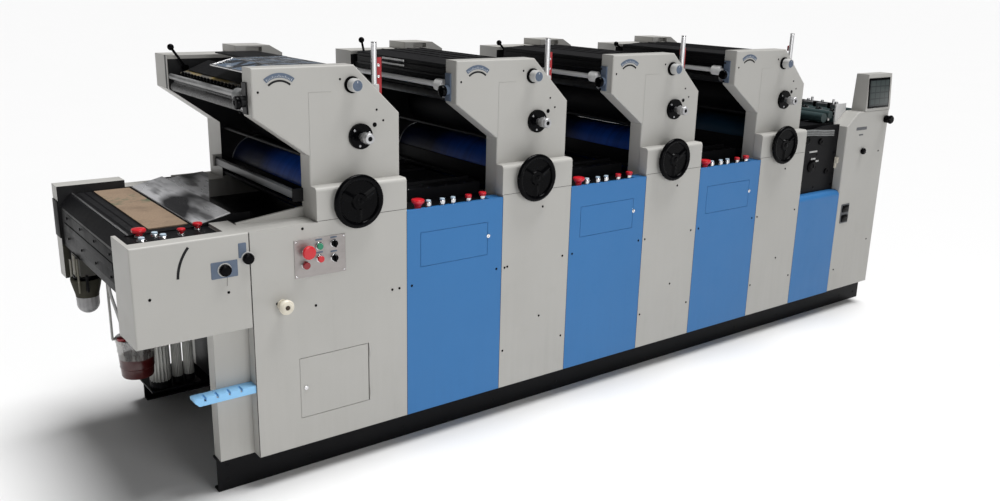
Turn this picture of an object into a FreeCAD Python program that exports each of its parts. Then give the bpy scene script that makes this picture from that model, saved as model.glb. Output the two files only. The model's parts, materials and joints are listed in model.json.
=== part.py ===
import FreeCAD, Part
import math
import os

V = FreeCAD.Vector

# Four-unit sheet-fed offset printing press, in millimetres. While it is built, X runs from the
# delivery end to the feeder with 0 at the first handwheel, Y runs from the operator's side
# covers into the machine with 0 at the side walls' outer face, and Z runs up from the floor.
# At the end everything is moved so that the origin is the middle of the whole press, at the floor.

# ---- driving dimensions ----
unit_count = 4
pitch = 820.0             # from one printing unit to the next
body_width = 988.0        # over the two side walls
near_wall = 73.0          # operator's side wall with its cover
far_wall = 149.0          # drive side wall with the gear case
running_gap = 0.3         # between rolls, and round a journal in its bore
moving_gap = 5.0          # between a moving piece and what it passes
edge_round = 6.0          # pressed edge of a sheet metal cover
thin_sheet = 5.0          # unbacked guards, trays and clips

# side wall outline of one unit, from its handwheel
head_left = -351.0
neck_left = -150.0
body_right = 215.0
top_right = 31.0          # where the top meets the long slope
head_top = 1512.0
head_depth = 163.0        # height of the head's front face
neck_drop = 147.0         # from the head's lower corner down to the neck
slope_drop = 179.0        # from the top down to the slope's lower end
far_head_drop = 20.0      # the gear case's top below the operator's wall top
far_lower_rise = 11.0     # and its lower outline above the operator's wall

# base
rail_height = 132.0
rail_width = 40.0
rail_steel = 8.0
rail_overhang = 50.0      # past the feeder cabinets
near_rail_start = -538.0
far_rail_start = -512.0
near_rail_inset = 25.0    # rail's outer face from the side wall's outer face
far_rail_inset = 9.0
foot_height = 30.0        # pads that lift the body off the rails
foot_length = 80.0
foot_places = (-90.0, 150.0)
beam_width = 60.0
first_beam = -190.0       # start of the cross beam under the first unit

# lower covers, from each handwheel
cover_depth = 50.0        # how far they stand out of the side wall
far_cover_depth = 12.0
shoulder_top = 1097.0
shoulder_round = 14.0
shoulder_lap = 3.0        # the shoulder is this much wider than the cover below it
seam_height = 978.0
seam_gap = 1.0
first_cover_left = -405.0
far_first_left = -320.0
blue_top = 970.0
blue_lap = 10.0           # how far the blue panels reach in past the wall face

# hatch groove in each blue panel
hatch_margin = (61.0, 74.0)
hatch_low = 739.0
hatch_high = 877.0
groove = 2.0

# ledge of push buttons behind each blue panel
ledge_top = 958.0
ledge_front = 40.0        # depth of its lower part behind the wall's inner face
ledge_depth = 110.0
ledge_step = 1006.0
button_recess = 10.0      # wall left in front of the row of buttons
button_run = 392.0        # length of the pocket that the row stands in
button_first = 62.0
button_pitch = 60.0
button_count = 6
button_line = 32.0        # the row's distance behind the panel's face
deck_low = 900.0
deck_top = 985.0

# door in the first lower cover
door_left = -238.0
door_right = 41.0
door_bottom = 244.0
door_top = 476.0
door_thick = 12.0
door_gap = 2.0
door_hinge_gap = 5.0
door_pin = 2.5
door_pin_reach = 9.0      # the pin's length in the cover above and below the door
door_hinge_in = 3.0
door_hinge_deep = 5.0
lock_radius = 9.0
lock_inset = 21.0

# cylinders
wheel_height = 1038.0
plate_shaft_x = 50.0
plate_shaft_height = 1258.0
cylinder_gap_side = 22.0  # from a cylinder's end to the wall
journal_radius = 25.0
plate_journal_radius = 22.0
journal_end = 20.0        # the journals end this far inside the outer face
bore_depth = 62.0         # of the blind bores in the gear case
shaft_stub = 10.0
shaft_knob_radius = 17.0
shaft_knob_from = 36.0
shaft_knob_to = 74.0
flange_radius = 46.5
flange_thick = 12.0

# handwheel
handwheel_radius = 98.5
handwheel_depth = 26.0
handwheel_face = 88.0     # its front, out from the side wall
handwheel_shaft = 14.0
hub_radius = 30.0
spoke_half = 6.0

# knob at the top of each unit
top_knob_x = 21.0
top_knob_drop = 69.0      # below the head's top
top_knob_radius = 24.0
top_knob_reach = 44.0
top_knob_stem = 9.0
top_knob_stem_in = 40.0
knob_ring_radius = 30.0
knob_ring_thick = 6.0

# turning knobs on the first cover and on the feeder
cream_x = -296.0
cream_z = 697.0
cream_radius = 27.0
cream_reach = 45.0
cream_stem = 8.0
feeder_knob_in = 35.0     # from the cabinet's end
feeder_knob_drop = 53.0   # below the cabinet's top
feeder_knob_radius = 24.0
feeder_knob_reach = 46.0
feeder_knob_stem = 6.0
knob_seat = 20.0          # depth of a knob's hole

# ball levers beside the gear cases
lever_x = -285.0
lever_drop = 47.0         # pivot below the gear case's top
lever_lean = [34.0, 13.0, 45.0, 60.0]
lever_length = 97.0
lever_rod = 5.0
lever_ball = 13.0
lever_hub = 11.0
lever_in = 21.0           # the lever's middle from the gear case's inner face
lever_pin = 6.0
lever_pin_in = 20.0
lever_room = 49.0         # kept free beside the gear case for the levers

# heads
bar_in = 12.0             # bright bar, from the head's front face
bar_height = 1410.0
bar_radius = 11.0
bar_block_radius = 20.0
bar_block = (22.0, 60.0)  # where its end block starts and ends
bracket_thick = 6.0
bracket_from = 34.0
bracket_to = 69.0
bracket_low = 1356.0
bracket_high = 1462.0
roller_end_height = 1398.0
roller_end_radius = 19.0
roller_end_reach = 18.0
front_roller_in = 24.0
front_roller_height = 1368.0
front_roller_radius = 17.0
ink_roller_radius = 38.0
ink_roller_first = -235.0
ink_roller_step = 86.0
ink_roller_height = 1377.0
ink_roller_fall = 7.0
ink_roller_count = 3
cover_bottom = 72.0       # head cover's lower edge below the head's top
cover_top_drop = 12.0
guard_split = 478.0       # where the open head's clear guard ends
tray_height = 1424.0

# drive side tops
motor_box_height = 32.0
motor_box_left = -66.0
motor_box_top_right = 84.0
motor_box_right = 141.0
recess_left = -20.0
recess_right = 50.0
recess_depth = 30.0
recess_margin = 6.0

# posts and clips on the long slope
post_x = 142.0
post_inset = 19.0         # from the wall's inner face
post_radius = 10.5
post_rise = 74.0          # above the head's top
clip_from = 16.0
clip_to = 42.0
clip_low = 1300.0
clip_rise = 16.0

# delivery
delivery_left = -800.0
delivery_top = 975.0
delivery_bottom = 633.0
near_box_depth = 188.0
far_box_in = 30.0         # far cover's inner face from the gear case's inner face
far_box_out = 40.0        # and its outer face from the gear case's outer face
far_cap_right = -545.0
far_cap_height = 28.0
console_depth = 12.0
console_margin = 14.0
console_right = -474.0
console_front = 6.0
table_drop = 6.0          # table top below the covers' top
table_low = 770.0
table_nose = 50.0         # the sloped front below the table's edge
table_nose_run = 37.0
table_inset = 8.0
board_left = -668.0
board_right = -532.0
board_thick = 4.0
guard_left = -520.0       # sheet guards between the table and the first unit
guard_right = -395.0
guard_rise = 34.0
guard_gap = 12.0
second_guard_right = -225.0
second_guard_start = 240.0  # the second guard's narrow end, from the near cover
guard_side_rise = (6.0, 36.0)
corner_post_left = -532.0
corner_post_depth = 60.0

# step plate on the corner post
step_left = -625.0
step_top = 414.0
step_thick = 12.0
step_lip = 16.0
step_slope = 15.0
step_depth = 46.0
step_slot = 8.0
step_slot_pitch = 43.0
step_slot_count = 4

# delivery rods between the first unit's walls
rod_radius = 6.0
rod_places = ((-22.0, 1064.0), (-26.0, 1042.0))
rod_plate_reach = 38.0
rod_plate_low = 1030.0
rod_plate_high = 1078.0
rod_plate_thick = 12.0

# air ducts under the delivery
duct_places = (-494.0, -422.0, -373.0)
duct_radius = (42.0, 21.0, 21.0)
duct_y = 777.0
duct_margin = 12.0
shelf_thick = 8.0

# filter bowl and waste bottle
bowl_x = -766.0
bowl_y = 690.0
bowl_radius = 42.0
bowl_low = 580.0
bowl_collar = (676.0, 700.0)
bowl_collar_radius = 34.0
bowl_block = 60.0
bottle_x = -640.0
bottle_y = 560.0
bottle_low = 292.0
bottle_height = 150.0
bottle_radius = (60.0, 72.0)
bottle_rim = 14.0
hanger_reach = 86.0
hanger_thick = 6.0
hanger_half = 8.0

# feeder, from the last handwheel
cabinet_start = 582.0
cabinet_length = 395.0
cabinet_top = 1160.0
cabinet_depth = 88.0
cabinet_shoulder = 75.0   # the sloped corner's height and run
cabinet_shoulder_run = 86.0
cabinet_bevel = 18.0
cabinet_bevel_drop = 8.0
pod_left_in = 154.0
pod_lean = 12.0
pod_height = 202.0
pod_tilt = 12.0
feeder_blue_top = 731.0
feeder_blue_round = 30.0
feeder_deck = 960.0
cheek_thick = 12.0
cheek_low = 1060.0
cheek_high = 1094.0
cheek_run = 225.0
feed_rollers = ((143.0, 1012.0, 30.0), (303.0, 1040.0, 40.0))  # from the unit's end: x, z, radius
table_beam = 60.0
table_beam_drop = 120.0
table_drop_end = 20.0
feed_rail_height = 1176.0
feed_rail_thick = 18.0
feed_rail_width = 22.0
feed_rail_places = (10.0, 70.0)
feed_plate = (4.0, 98.0, 1040.0, 1200.0)  # start, end, bottom and top
feed_plate_thick = 8.0
peg_radius = 7.0
peg_height = 28.0
peg_places = (32.0, 170.0, 442.0, 712.0)

# values that follow from them
body_inner_near = near_wall
body_inner_far = body_width - far_wall
unit_x = [i * pitch for i in range(unit_count)]
last_x = unit_x[-1]
cylinder_radius = math.hypot(plate_shaft_x, plate_shaft_height - wheel_height) / 2 - running_gap / 2
body_bottom = rail_height + foot_height
head_bottom = head_top - head_depth
neck_top = head_bottom - neck_drop
far_head_top = head_top - far_head_drop
top_knob_height = head_top - top_knob_drop
lever_height = far_head_top - lever_drop
lever_y = body_inner_far - lever_in
cover_end = body_inner_far - lever_room
cabinet_left = last_x + cabinet_start
cabinet_right = cabinet_left + cabinet_length
rail_end = cabinet_right + rail_overhang
feeder_knob_x = cabinet_right - feeder_knob_in
feeder_knob_z = cabinet_top - feeder_knob_drop
near_web = near_rail_inset
far_web = body_width - far_rail_inset
delivery_inner_near = near_box_depth - cover_depth
delivery_inner_far = body_inner_far + far_box_in
delivery_outer_far = body_width - far_box_out
table_top = delivery_top - table_drop
far_outer = body_width + far_cover_depth

nodes = {}


# ---- shapes ----

def add(name, *solids):
    nodes.setdefault(name, []).extend(solids)


def box(x0, x1, y0, y1, z0, z1):
    return Part.makeBox(x1 - x0, y1 - y0, z1 - z0, V(x0, y0, z0))


def rod(start, end, radius):
    # cylinder between two points
    a, b = V(*start), V(*end)
    return Part.makeCylinder(radius, (b - a).Length, a, b - a)


def rod_y(x, z, y0, y1, radius):
    return rod((x, y0, z), (x, y1, z), radius)


def rod_z(x, y, z0, z1, radius):
    return rod((x, y, z0), (x, y, z1), radius)


def ring_y(x, z, y0, y1, outer, inner):
    return rod_y(x, z, y0, y1, outer).cut(rod_y(x, z, y0 - 1, y1 + 1, inner))


def plate_xz(points, y0, y1):
    # outline in X and Z, given a thickness along Y
    wire = Part.makePolygon([V(x, y0, z) for x, z in points + points[:1]])
    return Part.Face(wire).extrude(V(0, y1 - y0, 0))


def plate_xy(points, z0, z1):
    # outline in X and Y, given a thickness along Z
    wire = Part.makePolygon([V(x, y, z0) for x, y in points + points[:1]])
    return Part.Face(wire).extrude(V(0, 0, z1 - z0))


def bar_yz(points, x0, x1):
    # outline in Y and Z, given a length along X
    wire = Part.makePolygon([V(x0, y, z) for y, z in points + points[:1]])
    return Part.Face(wire).extrude(V(x1 - x0, 0, 0))


def turned(points, x, z):
    # solid of revolution about a line along Y: points are (radius, y)
    wire = Part.makePolygon([V(x + r, y, z) for r, y in points + points[:1]])
    return Part.Face(wire).revolve(V(x, 0, z), V(0, 1, 0), 360)


def round_edges(solid, radius, wanted):
    # rounds the edges whose middle point answers to the test
    return solid.makeFillet(radius, [e for e in solid.Edges if wanted(e.CenterOfMass)])


def round_face(solid, y, radius):
    # rounds the outline of the flat face at this Y, as a pressed cover's edge
    edges = [e for e in solid.Edges if all(abs(v.Y - y) < 1e-6 for v in e.Vertexes)]
    return solid.makeFillet(radius, edges)


def round_top_front(solid, top, radius):
    # rounds the one long edge at the top of a lower cover's outer face
    return round_edges(solid, radius, lambda c: abs(c.z - top) < 1e-6 and abs(c.y + cover_depth) < 1e-6)


# ---- base ----

def channel(x0, x1, web_y, inward):
    # rolled channel lying along X, its web at web_y and its flanges pointing inward (+1 or -1)
    y = [web_y, web_y + inward * rail_width]
    inner = [web_y + inward * rail_steel, web_y + inward * (rail_width + 1)]
    outside = box(x0, x1, min(y), max(y), 0, rail_height)
    hollow = box(x0 - 1, x1 + 1, min(inner), max(inner), rail_steel, rail_height - rail_steel)
    return outside.cut(hollow)


def make_base():
    rails = [channel(near_rail_start, rail_end, near_web, 1), channel(far_rail_start, rail_end, far_web, -1)]
    y0, y1 = near_web + rail_steel, far_web - rail_steel
    places = [first_beam] + [x - beam_width / 2 for x in unit_x[1:]] + [cabinet_right - beam_width]
    beams = [box(x, x + beam_width, y0, y1, rail_steel, rail_height - rail_steel) for x in places]
    # shelf that reaches in from the far rail and carries the air ducts
    shelf = box(duct_places[0] - duct_radius[0] - duct_margin, duct_places[-1] + duct_radius[-1] + duct_margin,
                duct_y - max(duct_radius) - duct_margin, far_web, rail_height - shelf_thick, rail_height)
    add("base_frame", rails[0].fuse([rails[1], shelf] + beams).removeSplitter())


# ---- side walls ----

def wall_outline(x, top, drop, rise, floor, foot_left=None):
    # side wall of one unit; drop lowers its top, rise lifts its lower outline, and foot_left
    # gives the first unit its longer foot under the delivery
    lower = [(x + neck_left, floor)]
    if foot_left is not None:
        lower = [(x + neck_left, delivery_top), (foot_left, delivery_top), (foot_left, floor)]
    front = [(x + head_left, top), (x + head_left, head_bottom + rise), (x + neck_left, neck_top + rise)]
    back = [(x + body_right, floor), (x + body_right, head_top - drop - slope_drop), (x + top_right, top)]
    return front + lower + back


def make_near_wall(x, foot_left):
    outline = wall_outline(x, head_top, 0, 0, rail_height, foot_left)
    wall = round_face(plate_xz(outline, 0, near_wall), 0, edge_round)
    px = x + plate_shaft_x
    return wall.cut([
        rod_y(x, wheel_height, -1, near_wall + 1, journal_radius + running_gap),
        rod_y(px, plate_shaft_height, -1, near_wall + 1, plate_journal_radius + running_gap),
        rod_y(x + top_knob_x, top_knob_height, -1, top_knob_stem_in + 1, top_knob_stem + running_gap),
    ])


def make_gear_case(x, foot_left):
    y0 = body_inner_far
    outline = wall_outline(x, far_head_top, far_head_drop, far_lower_rise, body_bottom, foot_left)
    case = round_face(plate_xz(outline, y0, body_width), body_width, edge_round)
    px = x + plate_shaft_x
    case = case.cut([
        rod_y(x, wheel_height, y0 - 1, y0 + bore_depth, journal_radius + running_gap),
        rod_y(px, plate_shaft_height, y0 - 1, y0 + bore_depth, plate_journal_radius + running_gap),
        rod_y(x + lever_x, lever_height, y0 - 1, y0 + lever_pin_in + 1, lever_pin + running_gap),
    ])
    pads = [box(x + dx - foot_length / 2, x + dx + foot_length / 2, far_web - rail_width, far_web,
                rail_height, body_bottom + 1) for dx in foot_places]
    return case.fuse(pads).removeSplitter()


def make_side_walls():
    for x in unit_x:
        first = x == unit_x[0]
        wall = make_near_wall(x, first_cover_left if first else None)
        if first:
            # low guard that rises towards the first unit, over the delivery's inner edge
            low, high = guard_side_rise
            guard = plate_xz([(first_cover_left, delivery_top + low), (neck_left, delivery_top + high),
                              (neck_left, delivery_top), (first_cover_left, delivery_top)],
                             near_wall - rod_plate_thick, near_wall)
            wall = wall.fuse(guard).removeSplitter()
        add("near_side_walls", wall)
        add("gear_cases", make_gear_case(x, far_first_left if first else None))


# ---- cylinders, handwheels and knobs ----

def make_cylinders():
    barrel_ends = body_inner_near + cylinder_gap_side, body_inner_far - cylinder_gap_side
    tail = body_inner_far + bore_depth - moving_gap
    for n, x in enumerate(unit_x, 1):
        barrel = rod_y(x, wheel_height, *barrel_ends, cylinder_radius)
        axle = rod_y(x, wheel_height, journal_end, tail, journal_radius)
        add(f"blanket_cylinder_{n}", barrel.fuse(axle).removeSplitter())

        px, pz = x + plate_shaft_x, plate_shaft_height
        barrel = rod_y(px, pz, *barrel_ends, cylinder_radius)
        axle = rod_y(px, pz, journal_end, tail, plate_journal_radius)
        stub = rod_y(px, pz, -shaft_knob_from - 1, journal_end, shaft_stub)
        knob = rod_y(px, pz, -shaft_knob_to, -shaft_knob_from, shaft_knob_radius)
        add("plate_cylinders", barrel.fuse([axle, stub, knob]).removeSplitter())
        add("shaft_flanges", ring_y(px, pz, -flange_thick, 0, flange_radius, shaft_stub + running_gap))

        make_handwheel(n, x)
        make_top_knob(n, x + top_knob_x)


def make_handwheel(n, x):
    front = -handwheel_face
    back = front + handwheel_depth
    r, hub = handwheel_radius, hub_radius
    dish = turned([
        (0, front + 9), (hub, front + 9), (hub + 3, front + 14), (r - 24, front + 14),
        (r - 17, front + 2), (r - 10, front), (r - 3, front + 3), (r, front + 10),
        (r - 3, back - 3), (r - 9, back), (r - 20, back - 3), (r - 26, front + 19),
        (hub + 3, front + 19), (hub, back), (0, back),
    ], x, wheel_height)
    shaft = rod_y(x, wheel_height, back - 1, journal_end, handwheel_shaft)
    spokes = []
    for k in range(3):
        # raised spoke on the dish
        spoke = box(x + hub - 2, x + r - 20, front + 9, front + 15, wheel_height - spoke_half,
                    wheel_height + spoke_half)
        spoke.rotate(V(x, 0, wheel_height), V(0, 1, 0), 90 + 120 * k)
        spokes.append(spoke)
    add(f"handwheel_{n}", dish.fuse([shaft] + spokes).removeSplitter())


def make_top_knob(n, x):
    z = top_knob_height
    inner = -knob_ring_thick - moving_gap
    body = rod_y(x, z, -top_knob_reach, inner, top_knob_radius)
    stem = rod_y(x, z, inner - 1, top_knob_stem_in, top_knob_stem)
    add(f"top_knob_{n}", body.fuse(stem).removeSplitter())
    add("shaft_flanges", ring_y(x, z, -knob_ring_thick, 0, knob_ring_radius, top_knob_stem + moving_gap))


def turning_knob(x, z, face, radius, reach, stem, waist):
    # knob with a narrower waist on a stem that turns in a hole of the cover whose face is at this Y
    front = face - reach
    gap = face - moving_gap
    return turned([
        (0, front), (radius - 5, front), (radius, front + 6), (radius, front + 12),
        (waist, front + 18), (waist, gap), (stem, gap), (stem, face + knob_seat - 2), (0, face + knob_seat - 2),
    ], x, z)


# ---- covers on the operator's side ----

def make_near_covers():
    for x in unit_x:
        shoulder = box(x + neck_left - shoulder_lap, x + body_right, -cover_depth, 0,
                       seam_height + seam_gap, shoulder_top)
        shoulder = round_top_front(shoulder, shoulder_top, shoulder_round)
        hole = rod_y(x, wheel_height, -cover_depth - 1, 1, handwheel_shaft + 2)
        add("shoulder_covers", shoulder.cut(hole))
    for x in unit_x[1:]:
        add("side_covers", box(x + neck_left, x + body_right, -cover_depth, 0, rail_height, seam_height))
    make_first_cover()
    make_blue_panels()


def make_first_cover():
    face = -cover_depth
    cover = box(first_cover_left, body_right, face, 0, rail_height, seam_height)
    # its part under the delivery is a little lower
    low_top = box(first_cover_left - 1, neck_left, face - 1, 1, delivery_top, seam_height + 1)
    door_hole = box(door_left - door_gap, door_right + door_hinge_gap, face - 1, face + door_thick + door_gap,
                    door_bottom - door_gap, door_top + door_gap)
    hinge_x, hinge_y = door_right - door_hinge_in, face + door_hinge_deep
    hinge_room = rod_z(hinge_x, hinge_y, door_bottom - door_pin_reach - 1, door_top + door_pin_reach + 1,
                       door_pin + running_gap)
    knob_hole = rod_y(cream_x, cream_z, face - 1, face + knob_seat, cream_stem + running_gap)
    add("side_cover_1", cover.cut([low_top, door_hole, hinge_room, knob_hole]))
    door = box(door_left, door_right, face, face + door_thick, door_bottom, door_top)
    pin = rod_z(hinge_x, hinge_y, door_bottom - door_pin_reach, door_top + door_pin_reach, door_pin)
    lock = rod_y(door_left + lock_inset, (door_bottom + door_top) / 2, face - 2, face + 1, lock_radius)
    add("access_door", door.fuse([pin, lock]).removeSplitter())
    add("cream_knob", turning_knob(cream_x, cream_z, face, cream_radius, cream_reach, cream_stem,
                                   cream_radius / 2))


def make_blue_panels():
    face = -cover_depth
    inner = blue_lap
    for x in unit_x[:-1]:
        x0, x1 = x + body_right, x + pitch + neck_left
        panel = box(x0, x1, face, inner, rail_height, blue_top)
        left, right = x0 + hatch_margin[0], x1 - hatch_margin[1]
        outer = box(left, right, face - 1, face + groove, hatch_low, hatch_high)
        island = box(left + groove, right - groove, face - 2, face + groove + 1,
                     hatch_low + groove, hatch_high - groove)
        pocket = box(x0 - 1, x0 + button_run, face + button_recess, inner + 1, ledge_top, blue_top + 1)
        add("blue_panels", panel.cut([outer.cut(island), pocket]))
        # black ledge behind the panel's top edge, with a step up to the deck
        ledge = box(x0, x1, inner, near_wall + ledge_front, deck_low, ledge_top)
        step = box(x0, x1, near_wall + ledge_front, near_wall + ledge_depth, deck_low, ledge_step)
        add("button_ledges", ledge.fuse(step).removeSplitter())
    panel = box(last_x + body_right, cabinet_left, face, 0, rail_height, feeder_blue_top)
    add("blue_panels", round_top_front(panel, feeder_blue_top, feeder_blue_round))


# ---- buttons ----

def mushroom(x, y, z, direction, stem, radius):
    # emergency button on a stem, pointing along the direction
    a, d = V(x, y, z), V(*direction)
    cap = Part.makeCylinder(radius, radius * 0.5, a + d * stem, d)
    head = Part.makeCylinder(radius * 0.55, stem, a, d).fuse(cap).removeSplitter()
    rim = [e for e in head.Edges if abs((e.CenterOfMass - a).dot(d) - stem - radius * 0.5) < 1e-6]
    return head.makeFillet(radius * 0.3, rim)


def push_button(x, y, z, direction, length, radius):
    a, d = V(x, y, z), V(*direction)
    collar = Part.makeCylinder(radius, length * 0.6, a, d)
    return collar.fuse(Part.makeCylinder(radius * 0.72, length, a, d)).removeSplitter()


def make_buttons():
    up, out = (0, 0, 1), (0, -1, 0)
    row_y = -cover_depth + button_line
    for x in unit_x[:-1]:
        first = x + body_right + button_first
        add("red_buttons", mushroom(first, row_y, ledge_top, up, 26, 20))
        for k in range(1, button_count):
            add("push_buttons", push_button(first + button_pitch * k, row_y, ledge_top, up, 26, 12))
    # console in the delivery's near cover, seen from its inner end
    console = delivery_top - console_depth
    depth = -cover_depth
    add("red_buttons", mushroom(-716, depth + 168, console, up, 22, 24),
        mushroom(-520, depth + 166, console, up, 20, 17))
    for x, y in ((-724, 114), (-668, 158), (-652, 120), (-590, 124)):
        add("push_buttons", push_button(x, depth + y, console, up, 22, 15))
    # stainless panel on the first cover
    face = -cover_depth - 2
    add("control_panel", box(-245, -45, face, -cover_depth, 781, 921))
    add("red_buttons", mushroom(-200, face, 878, out, 20, 24))
    for x, z in ((-205, 828), (-150, 890), (-148, 843), (-92, 892), (-92, 838)):
        add("push_buttons", push_button(x, face, z, out, 18, 15))
    # selector knobs on the delivery's cover and on the feeder
    face = -cover_depth
    add("push_buttons", push_button(-496, face, 858, out, 22, 21), push_button(-414, face, 886, out, 22, 19),
        push_button(cabinet_left + 170, face, cabinet_top - 222, out, 14, 17))


# ---- body between the side walls, and the drive side ----

def make_body():
    y0, y1 = body_inner_near, body_inner_far
    body = box(far_first_left, last_x + body_right, y0, y1, body_bottom, deck_low)
    # black decks that close the body between the units
    decks = [box(x + body_right, x + pitch + neck_left, y0 + ledge_depth, y1, deck_low, deck_top)
             for x in unit_x[:-1]]
    add("inner_housing", body.fuse(decks).removeSplitter())
    for x in unit_x:
        left = far_first_left if x == unit_x[0] else x + neck_left
        cover = box(left, x + body_right, body_width, far_outer, body_bottom, seam_height)
        add("side_covers", round_face(cover, far_outer, edge_round))
        if x == last_x:
            panel = box(x + body_right, cabinet_left, body_width, far_outer, body_bottom, feeder_blue_top)
        else:
            panel = box(x + body_right, x + pitch + neck_left, y1, far_outer, body_bottom, blue_top)
        add("blue_panels", round_face(panel, far_outer, edge_round))


# ---- heads ----

def make_heads():
    y0, y1 = body_inner_near, body_inner_far
    for n, x in enumerate(unit_x, 1):
        left = x + head_left
        # bright bar with its larger end block
        block = rod_y(left + bar_in, bar_height, y0 + bar_block[0], y0 + bar_block[1], bar_block_radius)
        add("cross_bars", rod_y(left + bar_in, bar_height, y0, y1, bar_radius).fuse(block).removeSplitter())
        # bracket plate on the wall's front face, with a black roller end on it
        bracket = box(left - bracket_thick, left, bracket_from, bracket_to, bracket_low, bracket_high)
        middle = (bracket_from + bracket_to) / 2
        end = rod((left - bracket_thick - roller_end_reach, middle, roller_end_height),
                  (left - bracket_thick, middle, roller_end_height), roller_end_radius)
        add("head_brackets", bracket.fuse(end))
        if n > 1:
            top = head_top - cover_top_drop
            low = head_top - cover_bottom
            outline = [(left + 30, low - 2), (left + 8, low + 2), (left + 8, top - 8), (left + 120, top),
                       (left + 350, top), (left + 350, low)]
            add("head_covers", plate_xz(outline, y0, cover_end))
        # dark rollers, the first one low at the head's front edge
        add("ink_rollers", rod_y(left + front_roller_in, front_roller_height, y0, y1, front_roller_radius))
        for k in range(ink_roller_count):
            add("ink_rollers", rod_y(x + ink_roller_first + ink_roller_step * k,
                                     ink_roller_height - ink_roller_fall * k, y0, y1, ink_roller_radius))
    make_open_head()


def make_open_head():
    # the first unit's head is open: ink tray with its blade, a clear splash guard, and black covers
    # behind them
    left, t = head_left, thin_sheet
    y0, y1 = body_inner_near, cover_end
    z = tray_height
    add("ink_tray", plate_xz([(left + 35, z), (left + 35, z + t), (left + 70, z + 7 + t),
                              (left + 150, z + 41 + t), (left + 154, z + 41), (left + 76, z + 7)], y0, y1))
    top = head_top - 4
    add("splash_guard", plate_xz([(left + 44, top - 28), (left + 42, top - 25), (left + 130, top),
                                  (left + 330, top), (left + 330, top - 3), (left + 131, top - 3)],
                                 y0, guard_split))
    low = head_top - cover_bottom
    end = left + 350
    add("head_covers", plate_xz([(left + 180, top - 8), (left + 180, top - 2), (end, top - 2), (end, low),
                                 (end - 10, low), (end - 10, top - 8)], guard_split, y1),
        box(end - 10, end, y0, guard_split, low, top - 3))


def make_drive_tops():
    for x in unit_x:
        top = far_head_top + motor_box_height
        shape = plate_xz([(x + motor_box_left, far_head_top), (x + motor_box_left, top),
                          (x + motor_box_top_right, top), (x + motor_box_right, far_head_top)],
                         body_inner_far, body_width - edge_round)
        recess = box(x + recess_left, x + recess_right, body_inner_far - 1, body_inner_far + recess_depth,
                     far_head_top + recess_margin, top - recess_margin)
        # the lower edge follows the gear case where its top turns down
        fill = plate_xz([(x + top_right, far_head_top), (x + motor_box_right, far_head_top),
                         (x + motor_box_right, slope_height(motor_box_right) - far_head_drop)],
                        body_inner_far, body_width - edge_round)
        add("motor_boxes", shape.cut(recess).fuse(fill).removeSplitter())


def slope_height(x):
    # height of the long slope on the operator's side wall, at this distance from the handwheel
    share = (x - top_right) / (body_right - top_right)
    return head_top - share * slope_drop


def make_posts():
    # bright posts that stand in sockets on the long slope, with red clips inside
    for x in unit_x:
        low = slope_height(post_x + post_radius)
        post = rod_z(x + post_x, near_wall - post_inset, low - 10, head_top + post_rise, post_radius)
        wall = plate_xz(wall_outline(x, head_top, 0, 0, rail_height), 0, near_wall)
        add("support_posts", post.cut(wall))
        add("red_clips", box(x + post_x + clip_from, x + post_x + clip_to, near_wall, near_wall + thin_sheet,
                             clip_low, head_top + clip_rise))


def lever_arm(x, y, z, lean):
    # rod with a ball at its end, turned as one piece and then leant over towards the delivery
    neck = lever_length - math.sqrt(lever_ball ** 2 - lever_rod ** 2)
    start, below = V(0, 0, 0), V(lever_rod, 0, 0)
    meet, side, tip = V(lever_rod, 0, neck), V(lever_ball, 0, lever_length), V(0, 0, lever_length + lever_ball)
    edges = [Part.LineSegment(start, below), Part.LineSegment(below, meet), Part.Arc(meet, side, tip),
             Part.LineSegment(tip, start)]
    arm = Part.Face(Part.Wire([e.toShape() for e in edges])).revolve(start, V(0, 0, 1), 360)
    arm.rotate(start, V(0, 1, 0), -lean)
    arm.translate(V(x, y, z))
    return arm


def make_levers():
    for n, (x, lean) in enumerate(zip(unit_x, lever_lean), 1):
        px, pz = x + lever_x, lever_height
        arm = lever_arm(px, lever_y, pz, lean)
        hub = rod_y(px, pz, lever_y - 9, body_inner_far - moving_gap, lever_hub)
        pin = rod_y(px, pz, lever_y, body_inner_far + lever_pin_in, lever_pin)
        add(f"ball_lever_{n}", arm.fuse([hub, pin]).removeSplitter())


# ---- delivery ----

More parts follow.
